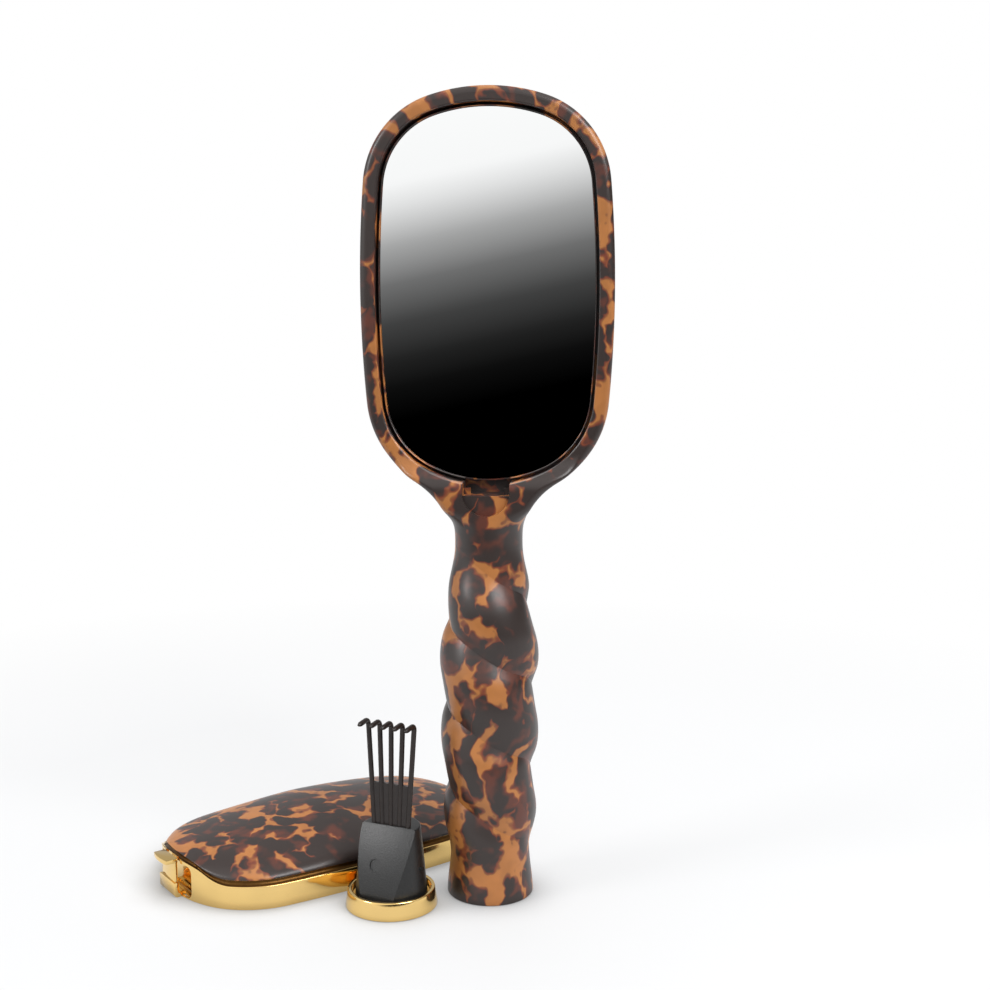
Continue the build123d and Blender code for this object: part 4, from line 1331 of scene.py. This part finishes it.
def tortoiseshell(colours):
    """Moulded cellulose-look plastic, satin: dark lobed patches drift under a clear amber skin."""
    found = bpy.data.materials.get("Tortoiseshell plastic")
    if found:
        return found
    material, tree = new_material("Tortoiseshell plastic")
    place = object_place(tree)
    # flow lines some 25 mm long bend the patches, and finer ones draw their edges out into flames
    warped = pushed(tree, place, place, 45.0, 0.018)
    warped = pushed(tree, place, warped, 230.0, 0.0055)
    # dark blobs 6 mm across and twice as tall, so close that they merge and leave star-shaped amber gaps
    squeezed = add_node(tree, "ShaderNodeMapping", {"Vector": warped, "Scale": (1.0, 1.0, 0.55)}).outputs[0]
    cells = {"Vector": squeezed, "Scale": 158.0, "Randomness": 1.0, "Smoothness": 0.1}
    blobs = add_node(tree, "ShaderNodeTexVoronoi", cells, feature="SMOOTH_F1").outputs["Distance"]
    field = add_share(tree, noise(tree, place, 30.0)["Fac"], 0.3, blobs)
    # the amber is deeper in places, and red-brown shows through the thin edges of the dark
    depth = noise(tree, warped, 160.0)["Fac"]
    field = add_share(tree, depth, 0.08, field)
    clear = ramp(tree, depth, shades(colours.amber, (0.35, 0.86), (0.65, 1)))
    thin = tuple(0.6 * c + 0.4 * r for c, r in zip(colours.dark, colours.amber_red))
    covered = ramp(tree, depth, [(0.5, tuple(colours.dark)), (0.72, thin)])
    share = ramp(tree, field, [(0.8, grey(0.0)), (0.845, grey(0.5)), (0.895, grey(1.0))])
    edge = ramp(tree, field, [(0.765, grey(0.0)), (0.82, grey(0.65)), (0.875, grey(0.0))])
    colour = mix(tree, edge, mix(tree, share, covered, clear), (*colours.amber_red, 1))
    # a faint orange-skin from the mould, 1 mm from crest to crest
    skin = bumps(tree, noise(tree, place, 900.0)["Fac"], 0.02, 0.0002)
    principled(tree, {"Base Color": colour, "Normal": skin, "Roughness": 0.34, "IOR": 1.5, "Metallic": 0.0})
    return material


def gold_plating(colours):
    """Bright gold plating on moulded plastic: mirror-like, with the slight waves of the moulding."""
    shader = {"Metallic": 1.0, "Roughness": 0.1}
    stops = [(0.3, 0.93), (0.7, 1)]
    return grained("Gold plating", colours.gold, (90.0, 1.0), stops, shader, (0.12, 0.0004), "LINEAR")


def painted_cove_gold(colours):
    """Bronze-brown gold in the cove under the dome, painted shade for the dark reflection there; satin, with
    a fine mottle from the mould.
    """
    shader = {"Metallic": 1.0, "Roughness": 0.38}
    stops = [(0.3, 0.75), (0.7, 1)]
    return grained("Gold in painted cove shade", colours.painted_cove_shade, (700.0, 2.0), stops, shader, interpolation="LINEAR")


def silvered_glass(colours):
    """Back-silvered float glass: a clean mirror with a trace of grey."""
    shader = {"Metallic": 1.0, "Roughness": 0.0}
    stops = [(0.0, 0.985), (1.0, 1)]
    return grained("Silvered glass", colours.silver, (12.0, 1.0), stops, shader, interpolation="LINEAR")


def moulded_plug(colours):
    """Black ABS with a fine spark texture: satin grey highlights broken by 0.4 mm grains."""
    shader = {"Roughness": 0.36, "IOR": 1.53, "Specular IOR Level": 0.42}
    stops = [(0.3, 0.8), (0.7, 1.25)]
    grain = (1900.0, 2.0, 0.6)
    return grained("Spark-textured ABS", colours.plug_black, grain, stops, shader, (0.35, 0.00015))


def moulded_nylon(colour, name):
    """Moulded nylon: a soft sheen with faint flow marks."""
    shader = {"Roughness": 0.36, "IOR": 1.53, "Specular IOR Level": 0.4}
    return grained(name, colour, (500.0, 2.0), [(0.3, 0.85), (0.7, 1.15)], shader, (0.08, 0.0002))


def moulded_rubber(colours):
    """Moulded rubber: matt with a dusty skin."""
    shader = {"Roughness": 0.62, "IOR": 1.52}
    stops = [(0.3, 1), (0.75, 1.35)]
    return grained("Moulded rubber", colours.rubber, (1200.0, 3.0), stops, shader, (0.15, 0.0001))


def hidden_finish(name, colour, roughness):
    """Foam tape or plain moulded plate behind the glass and the rubber, slightly mottled."""
    return grained(name, colour, (700.0, 2.0), [(0.3, 0.85), (0.7, 1)], {"Roughness": roughness})


class HAIRBRUSH_OT_hidden(bpy.types.Operator):
    """Finish the carried-over pieces behind the glass and the cushion."""

    bl_idname = "hairbrush.hidden"
    bl_label = "Hidden layers"

    def execute(self, context):
        colours = context.scene.brush_colours
        foam = hidden_finish("Foam tape", colours.foam, 0.8)
        plate = hidden_finish("Backing plate ABS", colours.plate, 0.5)
        for node, material in (("mirror_adhesive_pad", foam), ("bristle_backing_plate", plate)):
            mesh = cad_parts[node].data
            mesh.materials.clear()
            mesh.materials.append(material)
        return {"FINISHED"}


# ---- stage ----


def spread(tree, value, low, high, to_low=0.0, to_high=1.0):
    """A value carried from one range to another."""
    inputs = {"Value": value, "From Min": low, "From Max": high, "To Min": to_low, "To Max": to_high}
    return add_node(tree, "ShaderNodeMapRange", inputs).outputs[0]


def floor_material(colours):
    """Matt white board that keeps the shadows near the pieces, darkened further by a painted contact shadow,
    and fades to a white backdrop.
    """
    material, tree = new_material("Studio floor")
    place = object_place(tree)
    mottle = noise(tree, place, 6.0)["Fac"]
    tone = ramp(tree, mottle, shades(colours.floor, (0.3, 0.985), (0.7, 1)))
    # painted contact shadow: the board is darkened by ambient occlusion within some 15 mm of a piece
    near = add_node(tree, "ShaderNodeAmbientOcclusion", {"Distance": 0.016}, samples=12).outputs["AO"]
    painted_contact_shadow = ramp(tree, near, [(0.4, grey(0.54)), (1.0, grey(1.0))])
    matt = add_node(tree, "ShaderNodeBsdfDiffuse", {"Color": mix(tree, 1.0, tone, painted_contact_shadow, "MULTIPLY")})
    # the glow that camera and glossy rays see carries the painted contact shadow too
    glow = add_node(tree, "ShaderNodeEmission", {"Color": painted_contact_shadow, "Strength": 1.0})
    away = add_node(tree, "ShaderNodeVectorMath", {0: place}, operation="LENGTH").outputs["Value"]
    fade = spread(tree, away, 0.17, 0.42, 0.5)
    rays = add_node(tree, "ShaderNodeLightPath").outputs
    either = {0: rays["Is Camera Ray"], 1: rays["Is Glossy Ray"]}
    seen = add_node(tree, "ShaderNodeMath", either, operation="MAXIMUM").outputs[0]
    share = add_node(tree, "ShaderNodeMath", {0: seen, 1: fade}, operation="MULTIPLY").outputs[0]
    mixed = add_node(tree, "ShaderNodeMixShader", {0: share, 1: matt.outputs[0], 2: glow.outputs[0]})
    add_node(tree, "ShaderNodeOutputMaterial", {"Surface": mixed.outputs[0]})
    return material


# What polished pieces see: place and brightness, from the ground below to the lit wall above
STUDIO_WALL = (
    (0.0, 0.45),
    (0.2, 0.2),
    (0.35, 0.0),
    (0.445, 0.0),
    (0.468, 0.004),
    (0.487, 0.015),
    (0.513, 0.053),
    (0.539, 0.156),
    (0.565, 0.376),
    (0.591, 0.753),
    (0.607, 0.94),
    (0.7, 1.0),
)


def studio_world(scene):
    """Pale studio all round; polished pieces see it fade from white above to a dark band, and grey below."""
    world = bpy.data.worlds.new("Studio")
    scene.world = world
    world.use_nodes = True
    tree = world.node_tree
    tree.nodes.clear()

    def light(colour, strength):
        return add_node(tree, "ShaderNodeBackground", {"Color": colour, "Strength": strength}).outputs[0]

    way = add_node(tree, "ShaderNodeTexCoord").outputs["Generated"]
    parts = add_node(tree, "ShaderNodeSeparateXYZ", {"Vector": way}).outputs
    height = spread(tree, add_share(tree, parts["X"], -0.22, parts["Z"]), -0.5, 0.5)
    shade = ramp(tree, height, [(place, grey(value)) for place, value in STUDIO_WALL], "LINEAR")
    # the far side of the studio is dimmer, so that level tops keep their depth
    behind = spread(tree, parts["Y"], 0.0, 0.45, 1.0, 0.45)
    shade = mix(tree, behind, (0, 0, 0, 1), shade)
    rays = add_node(tree, "ShaderNodeLightPath").outputs
    soft, polished = light((0.9, 0.94, 1.0, 1), 0.42), light(shade, 1.12)
    lit = add_node(tree, "ShaderNodeMixShader", {0: rays["Is Glossy Ray"], 1: soft, 2: polished}).outputs[0]
    seen = light((1, 1, 1, 1), 1.0)
    done = add_node(tree, "ShaderNodeMixShader", {0: rays["Is Camera Ray"], 1: lit, 2: seen})
    add_node(tree, "ShaderNodeOutputWorld", {"Surface": done.outputs[0]})


def softbox(name, place, side, power):
    """A square area lamp aimed at the middle of the group."""
    clear_selection()
    bpy.ops.object.light_add(type="AREA", location=place)
    lamp = bpy.context.object
    lamp.name = name
    lamp.rotation_euler = (Vector((0, 0, 0.1)) - Vector(place)).to_track_quat("-Z", "Y").to_euler()
    lamp.data.shape = "SQUARE"
    lamp.data.size = side
    lamp.data.energy = power
    return lamp


class HAIRBRUSH_OT_stage(bpy.types.Operator):
    """Set the floor, the studio light and the camera."""

    bl_idname = "hairbrush.stage"
    bl_label = "Stage"

    def execute(self, context):
        scene = context.scene
        clear_selection()
        bpy.ops.mesh.primitive_plane_add(size=1)
        floor = bpy.context.object
        floor.name = "studio_floor"
        width, front, back = 4.0, -0.24, 2.6
        for vertex in floor.data.vertices:
            vertex.co.x *= width
            vertex.co.y = front if vertex.co.y < 0 else back
        floor.data.materials.append(floor_material(scene.brush_colours))
        studio_world(scene)
        softbox("Key lamp", (0.95, -0.85, 1.05), 0.9, 20)
        softbox("Fill lamp", (-1.2, -0.75, 0.85), 0.5, 9)
        top_lamp = softbox("Top lamp", (0.1, 0.2, 1.7), 1.3, 20)
        top_lamp.visible_glossy = False
        bpy.ops.object.camera_add()
        camera = bpy.context.object
        camera.name = "Studio camera"
        camera.data.sensor_fit = "HORIZONTAL"
        camera.data.sensor_width = SENSOR
        camera.data.lens = FOCAL * SENSOR / IMAGE_WIDTH
        camera.data.clip_start = 0.01
        turn, pitch, roll = math.radians(5), math.radians(8.06), math.radians(-0.2)
        aside = Vector((1.95, -440, 190)) * MM
        aside.rotate(Matrix.Rotation(turn, 3, "Z"))
        camera.location = BRUSH.translation + aside
        camera.rotation_euler = (
            Matrix.Rotation(turn, 3, "Z")
            @ Matrix.Rotation(math.pi / 2 - pitch, 3, "X")
            @ Matrix.Rotation(roll, 3, "Z")
        ).to_euler()
        scene.camera = camera
        scene.view_settings.view_transform = "Standard"
        return {"FINISHED"}


class HAIRBRUSH_PT_panel(bpy.types.Panel):
    """Sizes, colours and steps of the hairbrush set."""

    bl_label = "Hairbrush"
    bl_idname = "HAIRBRUSH_PT_panel"
    bl_space_type = "VIEW_3D"
    bl_region_type = "UI"
    bl_category = "Hairbrush"

    def draw(self, context):
        layout = self.layout
        for operator in OPERATORS:
            layout.operator(operator.bl_idname)
        for name in GROUPS:
            group = getattr(context.scene, name)
            box = layout.box()
            for prop in group.bl_rna.properties:
                if prop.identifier not in ("rna_type", "name"):
                    box.prop(group, prop.identifier)


GROUPS = {
    "brush_head": HeadSizes,
    "brush_handle": HandleSizes,
    "brush_cushion": CushionSizes,
    "brush_cover": CoverSizes,
    "brush_rake": RakeSizes,
    "brush_colours": FinishColours,
}
OPERATORS = (
    HAIRBRUSH_OT_frame,
    HAIRBRUSH_OT_mirror,
    HAIRBRUSH_OT_cushion,
    HAIRBRUSH_OT_rim,
    HAIRBRUSH_OT_dome,
    HAIRBRUSH_OT_latch,
    HAIRBRUSH_OT_cap,
    HAIRBRUSH_OT_plug,
    HAIRBRUSH_OT_comb,
    HAIRBRUSH_OT_hidden,
    HAIRBRUSH_OT_stage,
)


def register():
    """Register the classes and hang the groups of values on the scene."""
    for name, group in GROUPS.items():
        bpy.utils.register_class(group)
        setattr(bpy.types.Scene, name, PointerProperty(type=group))
    for operator in OPERATORS:
        bpy.utils.register_class(operator)
    bpy.utils.register_class(HAIRBRUSH_PT_panel)


def unregister():
    """Take the classes and groups away again."""
    bpy.utils.unregister_class(HAIRBRUSH_PT_panel)
    for operator in reversed(OPERATORS):
        bpy.utils.unregister_class(operator)
    for name, group in reversed(GROUPS.items()):
        delattr(bpy.types.Scene, name)
        bpy.utils.unregister_class(group)


def main():
    """Register the classes and build every piece in turn, then set the stage."""
    register()
    bpy.ops.hairbrush.frame()
    bpy.ops.hairbrush.mirror()
    bpy.ops.hairbrush.cushion()
    bpy.ops.hairbrush.rim()
    bpy.ops.hairbrush.dome()
    bpy.ops.hairbrush.latch()
    bpy.ops.hairbrush.cap()
    bpy.ops.hairbrush.plug()
    bpy.ops.hairbrush.comb()
    bpy.ops.hairbrush.hidden()
    bpy.ops.hairbrush.stage()


if __name__ == "__main__":
    main()
